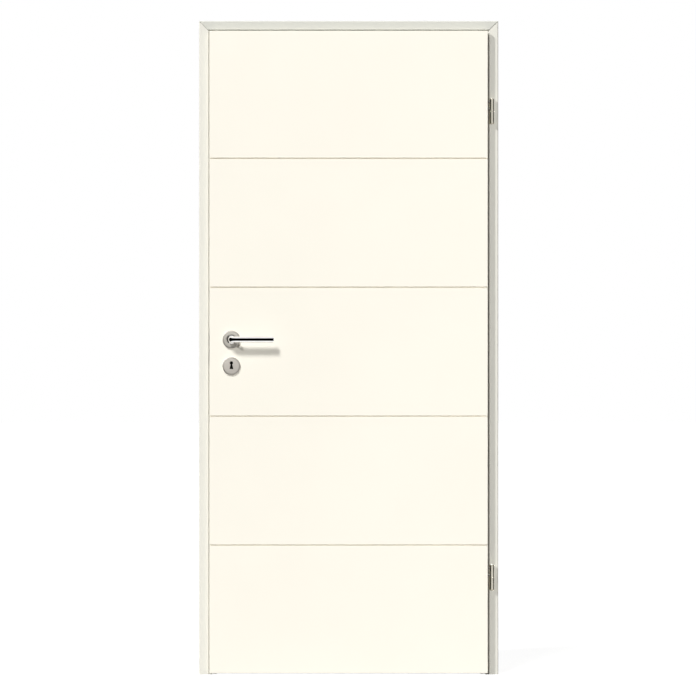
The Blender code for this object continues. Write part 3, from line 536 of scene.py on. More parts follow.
def dress(piece, body, slot_name, materials, *nodes):
    """Gives a finished piece its materials and body, and hides the nodes that it stands for; its slot name
    is not used.
    """
    for material in materials:
        piece.data.materials.append(material)
    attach(piece, body)
    if nodes:
        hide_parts(*nodes)
    return piece


def boolean(piece, tool, operation="DIFFERENCE"):
    """Cuts or joins at once, and removes the tool."""
    modifier = piece.modifiers.new(tool.name, "BOOLEAN")
    modifier.operation = operation
    modifier.object = tool
    baked = bake(piece)
    bpy.data.objects.remove(tool, do_unlink=True)
    return baked


def soft_box(name, low, high, rounding=0.0):
    """A block between two corners with rounded edges."""
    low = Vector(low)
    high = Vector(high)
    shape = bmesh.new()
    bmesh.ops.create_cube(shape, size=1.0)
    bmesh.ops.scale(shape, vec=high - low, verts=shape.verts)
    bmesh.ops.translate(shape, vec=(low + high) / 2, verts=shape.verts)
    if rounding:
        bmesh.ops.bevel(
            shape, geom=shape.edges[:], offset=rounding, segments=ROUNDING_SEGMENTS, profile=ROUND_PROFILE,
            affect="EDGES",
        )
    return link_shape(name, shape)


def round_bar(name, start, end, radius, steps=STUD_STEPS):
    start = Vector(start)
    end = Vector(end)
    shape = bmesh.new()
    bmesh.ops.create_cone(
        shape, cap_ends=True, segments=steps, radius1=radius, radius2=radius, depth=(end - start).length
    )
    turn = (end - start).to_track_quat("Z", "Y").to_euler()
    return link_shape(name, shape, (start + end) / 2, turn)


def loft(name, outline, place_start, place_end):
    """A closed bar between two copies of an outline of (u, y) points."""
    shape = bmesh.new()
    starts = [shape.verts.new(place_start(u, y)) for u, y in outline]
    ends = [shape.verts.new(place_end(u, y)) for u, y in outline]
    count = len(outline)
    for index in range(count):
        following = (index + 1) % count
        shape.faces.new((starts[index], starts[following], ends[following], ends[index]))
    shape.faces.new(starts)
    shape.faces.new(ends)
    bmesh.ops.recalc_face_normals(shape, faces=shape.faces[:])
    return link_shape(name, shape)


def rounded_outline(corners):
    """Corners given as (u, y, radius), each round one replaced by an arc."""
    points = []
    for index, (u, y, radius) in enumerate(corners):
        corner = Vector((u, y))
        if radius == 0:
            points.append(corner)
            continue
        before = (Vector(corners[index - 1][:2]) - corner).normalized()
        after = (Vector(corners[(index + 1) % len(corners)][:2]) - corner).normalized()
        centre = corner + (before + after) * radius
        for angle in quarter_turn():
            points.append(centre - after * radius * math.cos(angle) - before * radius * math.sin(angle))
    return [tuple(point) for point in points]


def arc_profile(radius, top, rounding):
    """Profile points that round a turned piece's outer edge at the given height."""
    return [
        (radius - rounding + rounding * math.sin(angle), top - rounding + rounding * math.cos(angle))
        for angle in quarter_turn()
    ]


def turned(name, profile, location, outwards, closed):
    """A profile of (radius, height) points turned about an axis that points outwards."""
    mesh = bpy.data.meshes.new(name)
    edges = [(index, index + 1) for index in range(len(profile) - 1)]
    if closed:
        edges.append((len(profile) - 1, 0))
    mesh.from_pydata([(radius, 0, height) for radius, height in profile], edges, [])
    turn = Vector(outwards).to_track_quat("Z", "X").to_euler()
    piece = link_piece(name, mesh, location, turn)
    screw = piece.modifiers.new("turn", "SCREW")
    screw.steps = TURN_STEPS
    screw.render_steps = TURN_STEPS
    screw.use_merge_vertices = True
    screw.merge_threshold = WELD_DISTANCE
    return bake(piece)


def keyhole_tool(name, low_y, high_y):
    """A round hole over a flared slot, as a cutter through the leaf's thickness."""
    neck_angle = math.asin(KEYHOLE_NECK / 2 / KEYHOLE_RADIUS)
    sweep = 2 * math.pi - 2 * neck_angle
    points = []
    for step in range(KEYHOLE_STEPS + 1):
        angle = -math.pi / 2 + neck_angle + sweep * step / KEYHOLE_STEPS
        points.append((KEYHOLE_RADIUS * math.cos(angle), KEYHOLE_RADIUS * math.sin(angle)))
    points.append((-KEYHOLE_FOOT / 2, -KEYHOLE_DROP))
    points.append((KEYHOLE_FOOT / 2, -KEYHOLE_DROP))

    def at(depth):
        return lambda x, z: (SPINDLE_X + x, depth, KEY_Z + z)

    return loft(name, points, at(low_y), at(high_y))


# Leaf
def groove_tool(surface_y, inwards, z):
    """A level groove's cutter, with small chamfers at the surface."""
    half = GROOVE_WIDTH / 2
    outline = [
        (-half - GROOVE_CHAMFER, -GROOVE_DEPTH),
        (-half - GROOVE_CHAMFER, 0),
        (-half, GROOVE_CHAMFER),
        (-half, GROOVE_DEPTH),
        (half, GROOVE_DEPTH),
        (half, GROOVE_CHAMFER),
        (half + GROOVE_CHAMFER, 0),
        (half + GROOVE_CHAMFER, -GROOVE_DEPTH),
    ]
    reach = LEAF_HIGH.x - LEAF_LOW.x

    def at(x):
        return lambda up, deep: (x, surface_y + inwards * deep, z + up)

    return loft("groove", outline, at(CENTRE_X - reach), at(CENTRE_X + reach))


def lock_cutters():
    """The passages and beds for the lock, spindle and key."""
    half = KEY_PASSAGE_WIDTH / 2
    middle_z = KEY_Z - KEY_PASSAGE_DROP
    case_low, case_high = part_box("lock_case")
    forend_low, forend_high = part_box("lock_forend")
    gap = Vector((SEAT_GAP, SEAT_GAP, SEAT_GAP))
    outside = Vector((LIP_THICKNESS, 0, 0))
    return [
        round_bar(
            "spindle_passage",
            (SPINDLE_X, LEAF_FRONT_Y - SKIN_OVERLAP, SPINDLE_Z),
            (SPINDLE_X, LEAF_BACK_Y + SKIN_OVERLAP, SPINDLE_Z),
            PASSAGE_RADIUS,
        ),
        soft_box(
            "key_passage",
            (SPINDLE_X - half, LEAF_FRONT_Y - SKIN_OVERLAP, middle_z - KEY_PASSAGE_HEIGHT / 2),
            (SPINDLE_X + half, LEAF_BACK_Y + SKIN_OVERLAP, middle_z + KEY_PASSAGE_HEIGHT / 2),
        ),
        soft_box("case_mortise", case_low - gap - outside, case_high + gap),
        soft_box("forend_bed", forend_low - gap - outside, forend_high + gap),
    ]


def leaf_stud_holes():
    holes = []
    for hinge in HINGES:
        low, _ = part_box(hinge + "_leaf_knuckle")
        for z in stud_heights(hinge, 1):
            holes.append(round_bar(
                "stud_hole",
                (low.x - SEAT_GAP, HINGE_Y, z),
                (LEAF_HIGH.x + LIP_THICKNESS, HINGE_Y, z),
                STUD_RADIUS + SEAT_GAP,
            ))
    return holes


def build_leaf(materials):
    """One seamless rebated slab with grooves on both faces; only its foot is unpainted."""
    slab = soft_box(
        "painted_leaf",
        (LEAF_LOW.x, LEAF_FRONT_Y, LEAF_LOW.z),
        (LEAF_HIGH.x, LIP_BACK_Y, LEAF_HIGH.z),
        LEAF_EDGE_ROUNDING,
    )
    block = soft_box(
        "block",
        (CORE_LOW.x, LIP_BACK_Y - 2 * SKIN_OVERLAP, CORE_LOW.z),
        (CORE_HIGH.x, LEAF_BACK_Y, CORE_HIGH.z),
        LEAF_EDGE_ROUNDING,
    )
    slab = boolean(slab, block, "UNION")
    for _, surface_y, outwards in FACES:
        for number in range(GROOVE_COUNT):
            z = LEAF_LOW.z + FIRST_GROOVE_HEIGHT + GROOVE_SPACING * number
            slab = boolean(slab, groove_tool(surface_y, -outwards, z))
    for tool in lock_cutters() + leaf_stud_holes():
        slab = boolean(slab, tool)
    for face in slab.data.polygons:
        at_foot = face.normal.z < -FLAT_COSINE and face.center.z < LEAF_LOW.z + SEAT_GAP
        face.material_index = 1 if at_foot else 0
    smooth(slab, True)
    return dress(slab, "leaf", "leaf_paint", materials, "leaf_core", "leaf_front_board", "leaf_back_board")


# Frame
def mitre_tool(side, inner_half, inner_top, face_y):
    """A thin blade along one mitre, for the fine line between two painted bars."""
    half = Vector((MITRE_LINE_REACH, MITRE_LINE_DEPTH, MITRE_LINE_WIDTH / 2))
    blade = soft_box("mitre_line", -half, half)
    blade.location = (CENTRE_X + side * inner_half, face_y, inner_top)
    blade.rotation_euler = (0, -side * math.pi / 4, 0)
    return blade


def frame_bars(prefix, sections, inner_half, inner_top, slot_name, materials, wall_side, mitre_face=None):
    """Three mitred bars round the opening; the sections are for the lock side, hinge side and head.

    Without a wall side, the face against the wall is each bar's outer one.
    """
    def blades(*sides):
        if mitre_face is None:
            return []
        return [mitre_tool(side, inner_half, inner_top, mitre_face) for side in sides]

    for (side_name, side), section in zip(SIDES, sections):
        outline = rounded_outline(section)

        def foot(u, y, side=side):
            return CENTRE_X + side * (inner_half + u), y, 0.0

        def top(u, y, side=side):
            return CENTRE_X + side * (inner_half + u), y, inner_top + u - MITRE_GAP

        bar = loft("painted_" + prefix + "_" + side_name, outline, foot, top)
        to_wall = wall_side or Vector((side, 0, 0))
        finish_bar(bar, prefix + "_" + side_name, slot_name, materials, to_wall, blades(side))

    def left(u, y):
        return CENTRE_X - inner_half - u + MITRE_GAP, y, inner_top + u

    def right(u, y):
        return CENTRE_X + inner_half + u - MITRE_GAP, y, inner_top + u

    bar = loft("painted_" + prefix + "_head", rounded_outline(sections[2]), left, right)
    finish_bar(bar, prefix + "_head", slot_name, materials, wall_side or Vector((0, 0, 1)), blades(-1, 1))


def finish_bar(bar, node, slot_name, materials, wall_side, blades):
    """Softens a bar's arrises, makes its cuts, and leaves the faces that touch wall or floor raw."""
    upright, level, raw = materials
    soften(bar, BAR_BEVEL)
    bar = bake(bar)
    for blade in blades:
        bar = boolean(bar, blade)
    if node == "front_architrave_lock_side":
        bar = cut_strike_bed(bar)
    if node == "front_architrave_hinge_side":
        bar = cut_frame_holes(bar)
    for face in bar.data.polygons:
        to_wall = face.normal.dot(wall_side) > FLAT_COSINE
        to_floor = face.normal.z < -FLAT_COSINE and face.center.z < SEAT_GAP
        face.material_index = 1 if to_wall or to_floor else 0
    smooth(bar, True)
    # The head bar takes the copy of the lacquer that is painted darker as shade
    paint = level if node.endswith("head") else upright
    return dress(bar, "frame", slot_name, [paint, raw], node)


def build_linings(materials):
    seal_low = SEAL_INSET - SEAL_STEM_WIDTH / 2 - SEAT_GAP
    seal_high = SEAL_INSET + SEAL_STEM_WIDTH / 2 + SEAT_GAP
    seal_floor = WALL_FRONT_Y + SEAL_STEM_DEPTH + SEAT_GAP
    tongue_low = TONGUE_LOW - SEAT_GAP
    tongue_high = TONGUE_HIGH + SEAT_GAP
    tongue_floor = WALL_BACK_Y - TONGUE_DEPTH - SEAT_GAP
    section = [
        (0, WALL_FRONT_Y, LINING_ROUNDING),
        (seal_low, WALL_FRONT_Y, 0),
        (seal_low, seal_floor, 0),
        (seal_high, seal_floor, 0),
        (seal_high, WALL_FRONT_Y, 0),
        (LINING_THICKNESS, WALL_FRONT_Y, 0),
        (LINING_THICKNESS, WALL_BACK_Y, 0),
        (tongue_high, WALL_BACK_Y, 0),
        (tongue_high, tongue_floor, 0),
        (tongue_low, tongue_floor, 0),
        (tongue_low, WALL_BACK_Y, 0),
        (0, WALL_BACK_Y, 0),
    ]
    frame_bars("lining", [section] * 3, CLEAR_HALF, CLEAR_TOP, "frame_paint", materials, None)


def front_section(groove_end):
    """A rounded board with the shadow groove that runs round the leaf's edge."""
    back = WALL_FRONT_Y - SEAT_GAP
    groove_floor = FRAME_FRONT_Y + EDGE_GROOVE_DEPTH
    return [
        (0, FRAME_FRONT_Y, ARCHITRAVE_ROUNDING),
        (EDGE_GROOVE_START, FRAME_FRONT_Y, 0),
        (EDGE_GROOVE_START, groove_floor, 0),
        (groove_end, groove_floor, 0),
        (groove_end, FRAME_FRONT_Y, 0),
        (FRONT_WIDTH, FRAME_FRONT_Y, ARCHITRAVE_ROUNDING),
        (FRONT_WIDTH, back, 0),
        (0, back, 0),
    ]


def build_front_architraves(materials):
    """The groove shows most over the head, and least beside the hinges."""
    groove_ends = (EDGE_GROOVE_LOCK_END, EDGE_GROOVE_HINGE_END, EDGE_GROOVE_HEAD_END)
    frame_bars(
        "front_architrave", [front_section(end) for end in groove_ends], REBATE_HALF, REBATE_TOP,
        "frame_paint", materials, Vector((0, 1, 0)), FRAME_FRONT_Y,
    )


def build_back_architraves(materials):
    face = WALL_BACK_Y + SEAT_GAP
    section = [
        (0, face, 0),
        (TONGUE_LOW, face, 0),
        (TONGUE_LOW, WALL_BACK_Y - TONGUE_DEPTH, 0),
        (TONGUE_HIGH, WALL_BACK_Y - TONGUE_DEPTH, 0),
        (TONGUE_HIGH, face, 0),
        (BACK_WIDTH, face, 0),
        (BACK_WIDTH, FRAME_BACK_Y, ARCHITRAVE_ROUNDING),
        (0, FRAME_BACK_Y, ARCHITRAVE_ROUNDING),
    ]
    frame_bars(
        "back_architrave", [section] * 3, CLEAR_HALF, CLEAR_TOP, "frame_paint", materials,
        Vector((0, -1, 0)), FRAME_BACK_Y,
    )


def build_seals(material):
    """Soft strips on the stops: a stem in the groove under a rounded bead."""
    stem = SEAL_STEM_WIDTH / 2
    foot = WALL_FRONT_Y - SEAT_GAP
    crown = foot - 2 * SEAL_BEAD_RADIUS
    section = [
        (SEAL_INSET - SEAL_BEAD_HALF, crown, SEAL_BEAD_RADIUS),
        (SEAL_INSET + SEAL_BEAD_HALF, crown, SEAL_BEAD_RADIUS),
        (SEAL_INSET + SEAL_BEAD_HALF, foot, 0),
        (SEAL_INSET + stem, foot, 0),
        (SEAL_INSET + stem, WALL_FRONT_Y + SEAL_STEM_DEPTH, 0),
        (SEAL_INSET - stem, WALL_FRONT_Y + SEAL_STEM_DEPTH, 0),
        (SEAL_INSET - stem, foot, 0),
        (SEAL_INSET - SEAL_BEAD_HALF, foot, 0),
    ]
    frame_bars(
        "seal", [section] * 3, CLEAR_HALF, CLEAR_TOP, "seal_rubber", [material] * 3, Vector((0, 1, 0))
    )


def cut_strike_bed(bar):
    """The recess for the angle strike and the pockets behind its windows."""
    low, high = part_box("strike_plate")
    gap = Vector((SEAT_GAP, SEAT_GAP, SEAT_GAP))
    leg_low = Vector((high.x - STRIKE_THICKNESS, low.y - ARCHITRAVE_ROUNDING, low.z))
    leg_high = high + Vector((ARCHITRAVE_ROUNDING, 0, 0))
    flange_low = low - Vector((0, ARCHITRAVE_ROUNDING, 0))
    flange_high = Vector((high.x, low.y + STRIKE_THICKNESS, high.z))
    bar = boolean(bar, soft_box("leg_bed", leg_low - gap, leg_high + gap))
    bar = boolean(bar, soft_box("flange_bed", flange_low - gap, flange_high + gap))
    for bolt in ("latch_bolt", "dead_bolt"):
        bolt_low, bolt_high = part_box(bolt)
        clear = Vector((0, KEEP_CLEARANCE, KEEP_CLEARANCE))
        bolt_low.x = high.x - KEEP_DEPTH
        bolt_high.x = high.x + KEEP_CLEARANCE
        bar = boolean(bar, soft_box(bolt + "_pocket", bolt_low - clear, bolt_high + clear))
    return bar


def cut_frame_holes(bar):
    for hinge in HINGES:
        _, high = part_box(hinge + "_frame_knuckle")
        for z in stud_heights(hinge, -1):
            bar = boolean(bar, round_bar(
                "frame_hole",
                (HINGE_X, FRAME_FRONT_Y - LIP_THICKNESS, z),
                (HINGE_X, high.y + SEAT_GAP, z),
                STUD_RADIUS + SEAT_GAP,
            ))
    return bar


# Hinges
def stud_heights(hinge, half):
    """The heights of the two studs of a hinge's leaf half (1) or frame half (-1)."""
    line_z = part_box(hinge + "_frame_knuckle")[1].z
    middle = line_z + half * KNUCKLE_LENGTH / 2
    return (middle - STUD_SPACING / 2, middle + STUD_SPACING / 2)


def add_studs(knuckle, hinge, half, end):
    """Joins the two studs and their small collars to a knuckle; end is the place, in plan, they reach."""
    for z in stud_heights(hinge, half):
        axis = Vector((HINGE_X, HINGE_Y, z))
        far = Vector((end[0], end[1], z))
        along = (far - axis).normalized()
        near = axis + along * (PIN_RADIUS + 2 * RUNNING_GAP)
        knuckle = boolean(knuckle, round_bar("stud", near, far, STUD_RADIUS), "UNION")
        collar_end = axis + along * (BARREL_RADIUS + STUD_COLLAR_LENGTH)
        knuckle = boolean(knuckle, round_bar("collar", near, collar_end, STUD_COLLAR_RADIUS), "UNION")
    # The studs and collars take the second material, steel painted dark as shade
    for face in knuckle.data.polygons:
        from_axis = math.hypot(face.center.x - HINGE_X, face.center.y - HINGE_Y)
        face.material_index = 1 if from_axis > BARREL_RADIUS + SEAT_GAP else 0
    return knuckle


def build_hinge(hinge, nickel, stud_steel_shaded):
    """Two knuckles with rounded ends, and the pin's domed cap below."""
    line_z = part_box(hinge + "_frame_knuckle")[1].z
    place = (HINGE_X, HINGE_Y, line_z)
    bore = PIN_RADIUS + RUNNING_GAP
    edge = KNUCKLE_EDGE_ROUNDING
    low = PIN_CAP_HEIGHT - KNUCKLE_LENGTH + SEAT_GAP
    frame_profile = [
        (bore, 0),
        *arc_profile(BARREL_RADIUS, 0, edge),
        (BARREL_RADIUS, low + edge / 2),
        (BARREL_RADIUS - edge / 2, low),
        (bore, low),
    ]
    lower = turned(hinge + "_lower_barrel", frame_profile, place, (0, 0, 1), True)
    lower = add_studs(lower, hinge, -1, (HINGE_X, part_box(hinge + "_frame_knuckle")[1].y))
    dress(smooth(lower), "frame", "hinge_nickel", [nickel, stud_steel_shaded], hinge + "_frame_knuckle")

    bore_top = KNUCKLE_LENGTH - 2 * KNUCKLE_CROWN
    leaf_profile = [(0, KNUCKLE_LENGTH), *arc_profile(BARREL_RADIUS, KNUCKLE_LENGTH, KNUCKLE_CROWN)]
    for angle in quarter_turn():
        leaf_profile.append((
            BARREL_RADIUS - edge + edge * math.cos(angle),
            SEAT_GAP + edge - edge * math.sin(angle),
        ))
    leaf_profile += [(bore, SEAT_GAP), (bore, bore_top), (0, bore_top)]
    upper = turned(hinge + "_upper_barrel", leaf_profile, place, (0, 0, 1), False)
    upper = add_studs(upper, hinge, 1, (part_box(hinge + "_leaf_knuckle")[0].x, HINGE_Y))
    dress(smooth(upper), "leaf", "hinge_nickel", [nickel, stud_steel_shaded], hinge + "_leaf_knuckle")

    cap_top = PIN_CAP_HEIGHT - KNUCKLE_LENGTH
    pin_profile = [(0, bore_top - RUNNING_GAP), (PIN_RADIUS, bore_top - RUNNING_GAP), (PIN_RADIUS, cap_top)]
    pin_profile += [(BARREL_RADIUS - edge / 2, cap_top), (BARREL_RADIUS, cap_top - edge / 2)]
    for angle in quarter_turn()[:-1]:
        pin_profile.append((
            BARREL_RADIUS * math.cos(angle),
            cap_top - edge - (PIN_CAP_HEIGHT - edge) * math.sin(angle),
        ))
    pin_profile.append((0, cap_top - PIN_CAP_HEIGHT))
    pin = turned(hinge + "_capped_pin", pin_profile, place, (0, 0, 1), False)
    dress(smooth(pin), "frame", "hinge_nickel", [nickel], hinge + "_pin")


# Lever sets
def build_lever_rose(face_name, face_y, outwards, satin, chrome):
    seat_radius = COLLAR_RADIUS + COLLAR_SHADOW_GAP
    seat_height = ROSE_THICKNESS - COLLAR_SEAT_DEPTH
    bore = LEVER_RADIUS + RUNNING_GAP
    place = (SPINDLE_X, face_y, SPINDLE_Z)
    profile = [
        (seat_radius, ROSE_THICKNESS - ROSE_FACE_CROWN),
        (seat_radius + ROSE_FACE_CROWN, ROSE_THICKNESS),
        *arc_profile(ROSE_RADIUS, ROSE_THICKNESS, ROSE_RIM),
        (ROSE_RADIUS, SEAT_GAP),
        (bore, SEAT_GAP),
        (bore, seat_height),
        (seat_radius, seat_height),
    ]
    rose = turned(face_name + "_round_lever_rose", profile, place, (0, outwards, 0), True)
    dress(smooth(rose), "leaf", "satin_nickel", [satin], face_name + "_lever_rose")

    low = seat_height + SEAT_GAP
    high = low + COLLAR_HEIGHT
    collar_profile = [(bore, high), (COLLAR_RADIUS, low + COLLAR_RIM), (COLLAR_RADIUS, low), (bore, low)]
    collar = turned(face_name + "_polished_collar", collar_profile, place, (0, outwards, 0), True)
    dress(smooth(collar), "leaf", "chrome", [chrome], face_name + "_neck_collar")


def build_key_rose(face_name, face_y, outwards, satin):
    place = (SPINDLE_X, face_y, KEY_ROSE_Z)
    profile = [
        (0, ROSE_THICKNESS),
        *arc_profile(ROSE_RADIUS, ROSE_THICKNESS, ROSE_RIM),
        (ROSE_RADIUS, SEAT_GAP),
        (0, SEAT_GAP),
    ]
    rose = turned(face_name + "_round_key_rose", profile, place, (0, outwards, 0), False)
    ends = sorted((face_y - outwards * ROSE_THICKNESS, face_y + outwards * 2 * ROSE_THICKNESS))
    rose = boolean(rose, keyhole_tool("keyhole", ends[0], ends[1]))
    dress(smooth(rose), "leaf", "satin_nickel", [satin], face_name + "_key_rose")


def lever_points():
    """The lever's centre line as (along, out, radius share): out of the rose, round, to the tip."""
    reach = LEVER_TIP_X - SPINDLE_X
    points = [(0, NECK_END, 1), (0, LEVER_PROJECTION - LEVER_BEND_RADIUS, 1)]
    for angle in quarter_turn(BEND_STEPS)[1:]:
        points.append((
            LEVER_BEND_RADIUS * (1 - math.cos(angle)),
            LEVER_PROJECTION - LEVER_BEND_RADIUS * (1 - math.sin(angle)),
            1,
        ))
    for angle in quarter_turn():
        points.append((
            reach - LEVER_TIP_ROUNDING * (1 - math.sin(angle)),
            LEVER_PROJECTION,
            1 - LEVER_TIP_ROUNDING * (1 - math.cos(angle)) / LEVER_RADIUS,
        ))
    return points


def build_lever(face_name, face_y, outwards, chrome, steel):
    """A round chromed bar bent at a right angle, with a sunk grub screw under its neck."""
    curve = bpy.data.curves.new("lever", "CURVE")
    curve.dimensions = "3D"
    curve.bevel_depth = LEVER_RADIUS
    curve.bevel_resolution = LEVER_RESOLUTION
    curve.use_fill_caps = True
    points = lever_points()
    spline = curve.splines.new("POLY")
    spline.points.add(len(points) - 1)
    for point, (along, out, share) in zip(spline.points, points):
        point.co = (SPINDLE_X + along, face_y + outwards * out, SPINDLE_Z, 1.0)
        point.radius = share
    lever = bake(link_piece(face_name + "_polished_lever", curve))
    mouth = face_y + outwards * NECK_END
    ends = sorted((mouth - outwards * NECK_END, mouth + outwards * SOCKET_DEPTH))
    lever = boolean(lever, soft_box(
        "socket",
        (SPINDLE_X - SOCKET_HALF, ends[0], SPINDLE_Z - SOCKET_HALF),
        (SPINDLE_X + SOCKET_HALF, ends[1], SPINDLE_Z + SOCKET_HALF),
    ))
    grub_y = face_y + outwards * GRUB_OUT
    under = SPINDLE_Z - LEVER_RADIUS
    lever = boolean(lever, round_bar(
        "grub_hole", (SPINDLE_X, grub_y, under - GRUB_SINK), (SPINDLE_X, grub_y, SPINDLE_Z), GRUB_RADIUS
    ))
    dress(smooth(lever), "handle", "chrome", [chrome], face_name + "_lever")
    grub = round_bar(
        face_name + "_grub_screw",
        (SPINDLE_X, grub_y, under + GRUB_SINK),
        (SPINDLE_X, grub_y, SPINDLE_Z - SOCKET_HALF),
        GRUB_RADIUS - SEAT_GAP / 2,
    )
    grub = boolean(grub, round_bar(
        "hexagon", (SPINDLE_X, grub_y, under), (SPINDLE_X, grub_y, under + 2 * GRUB_SINK),
        GRUB_HEX_RADIUS, HEXAGON_STEPS,
    ))
    dress(smooth(grub), "handle", "steel", [steel])


# Lock furniture
def countersunk_screw(name, head, outwards, body, steel):
    """A flat countersunk screw head with a cross recess, flush with its plate."""
    head = Vector(head)
    outwards = Vector(outwards)
    profile = [
        (0, SEAT_GAP / 2),
        (SCREW_RADIUS - SEAT_GAP, SEAT_GAP / 2),
        (SCREW_RADIUS, 0),
        (SCREW_RADIUS / 2, -SCREW_RADIUS / 2),
        (0, -SCREW_RADIUS / 2),
    ]
    screw = turned(name, profile, head, outwards, False)
    across = SCREW_RADIUS * SCREW_CROSS_SHARE
    for wide, high in ((across, SCREW_SLOT / 2), (SCREW_SLOT / 2, across)):
        tool = soft_box(
            "cross", (head.x - SCREW_RECESS, head.y - wide, head.z - high),
            (head.x + SCREW_RECESS, head.y + wide, head.z + high),
        )
        screw = boolean(screw, tool)
    return dress(smooth(screw), body, "steel", [steel])


def build_plate_screws(steel):
    """Two screws in the forend and two in the strike's leg."""
    low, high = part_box("lock_forend")
    for end, z in (("low", low.z + SCREW_INSET), ("high", high.z - SCREW_INSET)):
        countersunk_screw("forend_screw_" + end, (low.x, LOCK_Y, z), (-1, 0, 0), "leaf", steel)
    low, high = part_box("strike_plate")
    for end, z in (("low", low.z + SCREW_INSET), ("high", high.z - SCREW_INSET)):
        countersunk_screw("strike_screw_" + end, (high.x, LOCK_Y, z), (1, 0, 0), "frame", steel)


def finish_cad_nodes(steel, blackened_and_shade):
    """Plates and inner parts keep their solids, and get softer arrises and a finish."""
    for node in PLATES + INNER_PARTS:
        piece = frame["nodes"][node]
        piece.data.materials.clear()
        # Inner parts are near black: blackened steel, and painted shade seen through the keyhole
        piece.data.materials.append(steel if node in PLATES else blackened_and_shade)
        soften(piece, PLATE_BEVEL)


# Studio
def ray_mask(tree):
    """1 for rays that should see the plain white surroundings: camera, glossy, transmission."""
    light_path = tree.nodes.new("ShaderNodeLightPath")
    total = light_path.outputs["Is Camera Ray"]
    for name in ("Is Glossy Ray", "Is Transmission Ray"):
        highest = tree.nodes.new("ShaderNodeMath")
        highest.operation = "MAXIMUM"
        tree.links.new(total, highest.inputs[0])
        tree.links.new(light_path.outputs[name], highest.inputs[1])
        total = highest.outputs[0]
    return total


def build_world():
    """A plain white surround that lights the object evenly at the ambient level."""
    world = bpy.data.worlds.new("studio")
    world.use_nodes = True
    bpy.context.scene.world = world
    tree = world.node_tree
    background = tree.nodes["Background"]
    background.inputs["Color"].default_value = (*WHITE, 1.0)
    strength = tree.nodes.new("ShaderNodeMapRange")
    strength.inputs["To Min"].default_value = AMBIENT
    strength.inputs["To Max"].default_value = 1.0
    tree.links.new(ray_mask(tree), strength.inputs["Value"])
    tree.links.new(strength.outputs["Result"], background.inputs["Strength"])


def build_floor():
    """A pale floor that reads as white and keeps the object's shadow."""
    shape = bmesh.new()
    bmesh.ops.create_grid(shape, x_segments=1, y_segments=1, size=FLOOR_HALF)
    floor = link_shape("floor", shape)
    material = new_material("floor", FLOOR_COLOUR, FLOOR_ROUGHNESS)
    tree = material.node_tree
    shader = tree.nodes["Principled BSDF"]
    shader.inputs["Specular IOR Level"].default_value = 0.0
    shader.inputs["Emission Color"].default_value = (*WHITE, 1.0)
    glow = tree.nodes.new("ShaderNodeMath")
    glow.operation = "MULTIPLY"
    glow.inputs[1].default_value = FLOOR_GLOW
    tree.links.new(ray_mask(tree), glow.inputs[0])
    tree.links.new(glow.outputs[0], shader.inputs["Emission Strength"])
    floor.data.materials.append(material)


def build_card(name, x, y, azimuth, half, radius, material):
    """A curved black card that only reflections see; azimuth 0 stands before the leaf, 90 degrees at +X."""
    shape = bmesh.new()
    columns = []
    for step in range(CARD_STEPS + 1):
        angle = azimuth - half + 2 * half * step / CARD_STEPS
        place = (x + radius * math.sin(angle), y - radius * math.cos(angle))
        columns.append([shape.verts.new((*place, z)) for z in (CARD_LOW, CARD_HIGH)])
    for near, far in zip(columns, columns[1:]):
        shape.faces.new((near[0], far[0], far[1], near[1]))
    card = link_shape(name, shape)
    card.data.materials.append(material)
    card.visible_camera = False
    card.visible_diffuse = False
    card.visible_transmission = False
    card.visible_volume_scatter = False
    card.visible_shadow = False


def build_cards():
    """Black cards before both levers, for the stripe along the chrome, and one beside the hinges."""
    black = new_material("black_card", (0, 0, 0), 1.0)
    black.node_tree.nodes["Principled BSDF"].inputs["Specular IOR Level"].default_value = 0
    for name, azimuth in (
        ("front_lever_card", LEVER_CARD_AZIMUTH), ("back_lever_card", math.pi - LEVER_CARD_AZIMUTH)
    ):
        build_card(name, SPINDLE_X, LOCK_Y, azimuth, LEVER_CARD_HALF, LEVER_CARD_RADIUS, black)
    build_card(
        "hinge_card", HINGE_X, HINGE_Y, HINGE_CARD_AZIMUTH, HINGE_CARD_HALF, HINGE_CARD_RADIUS, black
    )


def add_sun(name, travel, strength, softness):
    sun = bpy.data.lights.new(name, "SUN")
    sun.energy = strength
    sun.angle = softness
    lamp = bpy.data.objects.new(name, sun)
    lamp.rotation_euler = Vector(travel).to_track_quat("-Z", "Y").to_euler()
    bpy.context.scene.collection.objects.link(lamp)
    return lamp


def object_collection(name, left_out):
    """Every mesh of the scene but those left out, for linking a light."""
    collection = bpy.data.collections.new(name)
    for piece in bpy.context.scene.objects:
        if piece.type == "MESH" and piece.name not in left_out:
            collection.objects.link(piece)
    return collection


def build_lights():
    """A key light that the barrels don't block, a side light that the lever sets don't, one from behind.

    The first two leave no hot spots on the chrome, which mirrors only the white surroundings and the cards.
    """
    polished = [face_name + part for face_name, _, _ in FACES for part in POLISHED_PARTS]
    roses = [face_name + part for face_name, _, _ in FACES for part in ROSE_PARTS]
    barrels = [hinge + part for hinge in HINGES for part in BARREL_PARTS]
    all_but_chrome = object_collection("front_light_receivers", polished)
    key = add_sun("key_light", KEY_TRAVEL, KEY_STRENGTH, KEY_SOFTNESS)
    key.light_linking.receiver_collection = all_but_chrome
    key.light_linking.blocker_collection = object_collection("key_light_blockers", barrels)
    side = add_sun("side_light", SIDE_TRAVEL, SIDE_STRENGTH, SIDE_SOFTNESS)
    side.light_linking.receiver_collection = all_but_chrome
    side.light_linking.blocker_collection = object_collection("side_light_blockers", polished + roses)
    back = add_sun("back_light", BACK_TRAVEL, BACK_STRENGTH, BACK_SOFTNESS)
    back.light_linking.receiver_collection = object_collection("back_light_receivers", ["floor"])


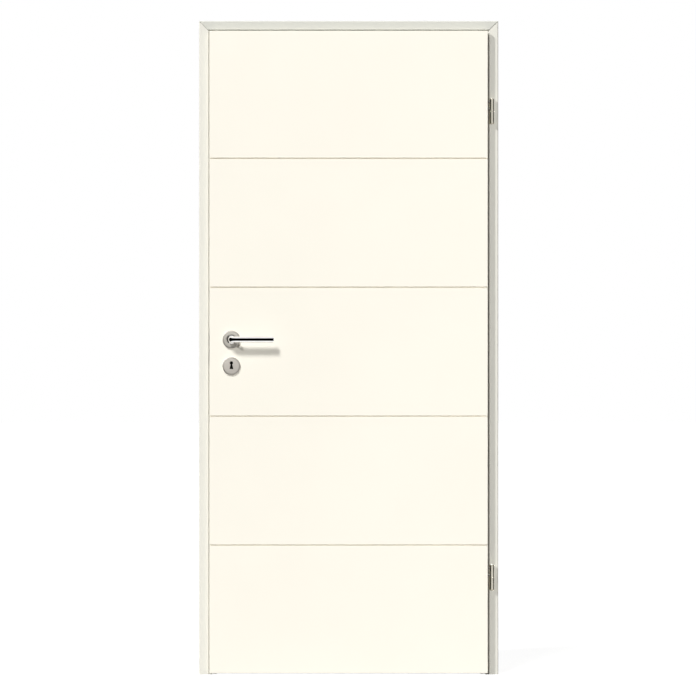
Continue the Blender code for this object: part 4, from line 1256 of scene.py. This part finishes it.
def build_camera():
    """A long lens, square to the leaf."""
    camera = bpy.data.cameras.new("camera")
    camera.sensor_width = SENSOR_WIDTH
    camera.lens = SENSOR_WIDTH * CAMERA_DISTANCE / PICTURE_WIDTH
    camera.clip_end = CAMERA_CLIP_END
    view = bpy.data.objects.new("camera", camera)
    view.location = (CAMERA_X, LEAF_FRONT_Y - CAMERA_DISTANCE, CAMERA_Z)
    view.rotation_euler = (math.pi / 2, 0, 0)
    bpy.context.scene.collection.objects.link(view)
    bpy.context.scene.camera = view


build_camera()
upright_paint = lacquer("frame_lacquer_upright", FRAME_WHITE, UPRIGHT_GRAIN)
level_paint_shaded = lacquer("frame_lacquer_level", HEAD_WHITE_PAINTED_SHADE, LEVEL_GRAIN)
board = raw_board("raw_chipboard")
lever_satin_shaded = turned_metal("satin_lever_rose", SATIN_PAINTED_SHADE_BY_LEVER, SATIN_ROUGHNESS, SPINDLE_Z)
key_satin = turned_metal("satin_key_rose", SATIN, SATIN_ROUGHNESS, KEY_ROSE_Z)
chrome = polished_metal("polished_chrome", CHROME, CHROME_ROUGHNESS)
nickel = polished_metal("polished_nickel", NICKEL, NICKEL_ROUGHNESS)
blackened_and_shade = brushed_metal("blackened_steel", BLACKENED_AND_SHADE, BLACKENED_ROUGHNESS)
zinc = brushed_metal("zinc_plated_steel", ZINC, ZINC_ROUGHNESS, ZINC_GRAIN)
stud_steel_shaded = brushed_metal("plain_stud_steel", STUD_STEEL_PAINTED_SHADE, STUD_ROUGHNESS)

build_leaf([lacquer("leaf_lacquer", LEAF_CREAM), raw_spruce("raw_spruce")])
bar_finishes = [upright_paint, level_paint_shaded, board]
build_linings(bar_finishes)
build_front_architraves(bar_finishes)
build_back_architraves(bar_finishes)
build_seals(soft_strip("grey_seal"))
for hinge in HINGES:
    build_hinge(hinge, nickel, stud_steel_shaded)
for face_name, face_y, outwards in FACES:
    build_lever_rose(face_name, face_y, outwards, lever_satin_shaded, chrome)
    build_key_rose(face_name, face_y, outwards, key_satin)
    build_lever(face_name, face_y, outwards, chrome, zinc)
build_plate_screws(zinc)
finish_cad_nodes(zinc, blackened_and_shade)

build_world()
build_floor()
build_cards()
build_lights()
bpy.context.scene.view_settings.view_transform = "Standard"
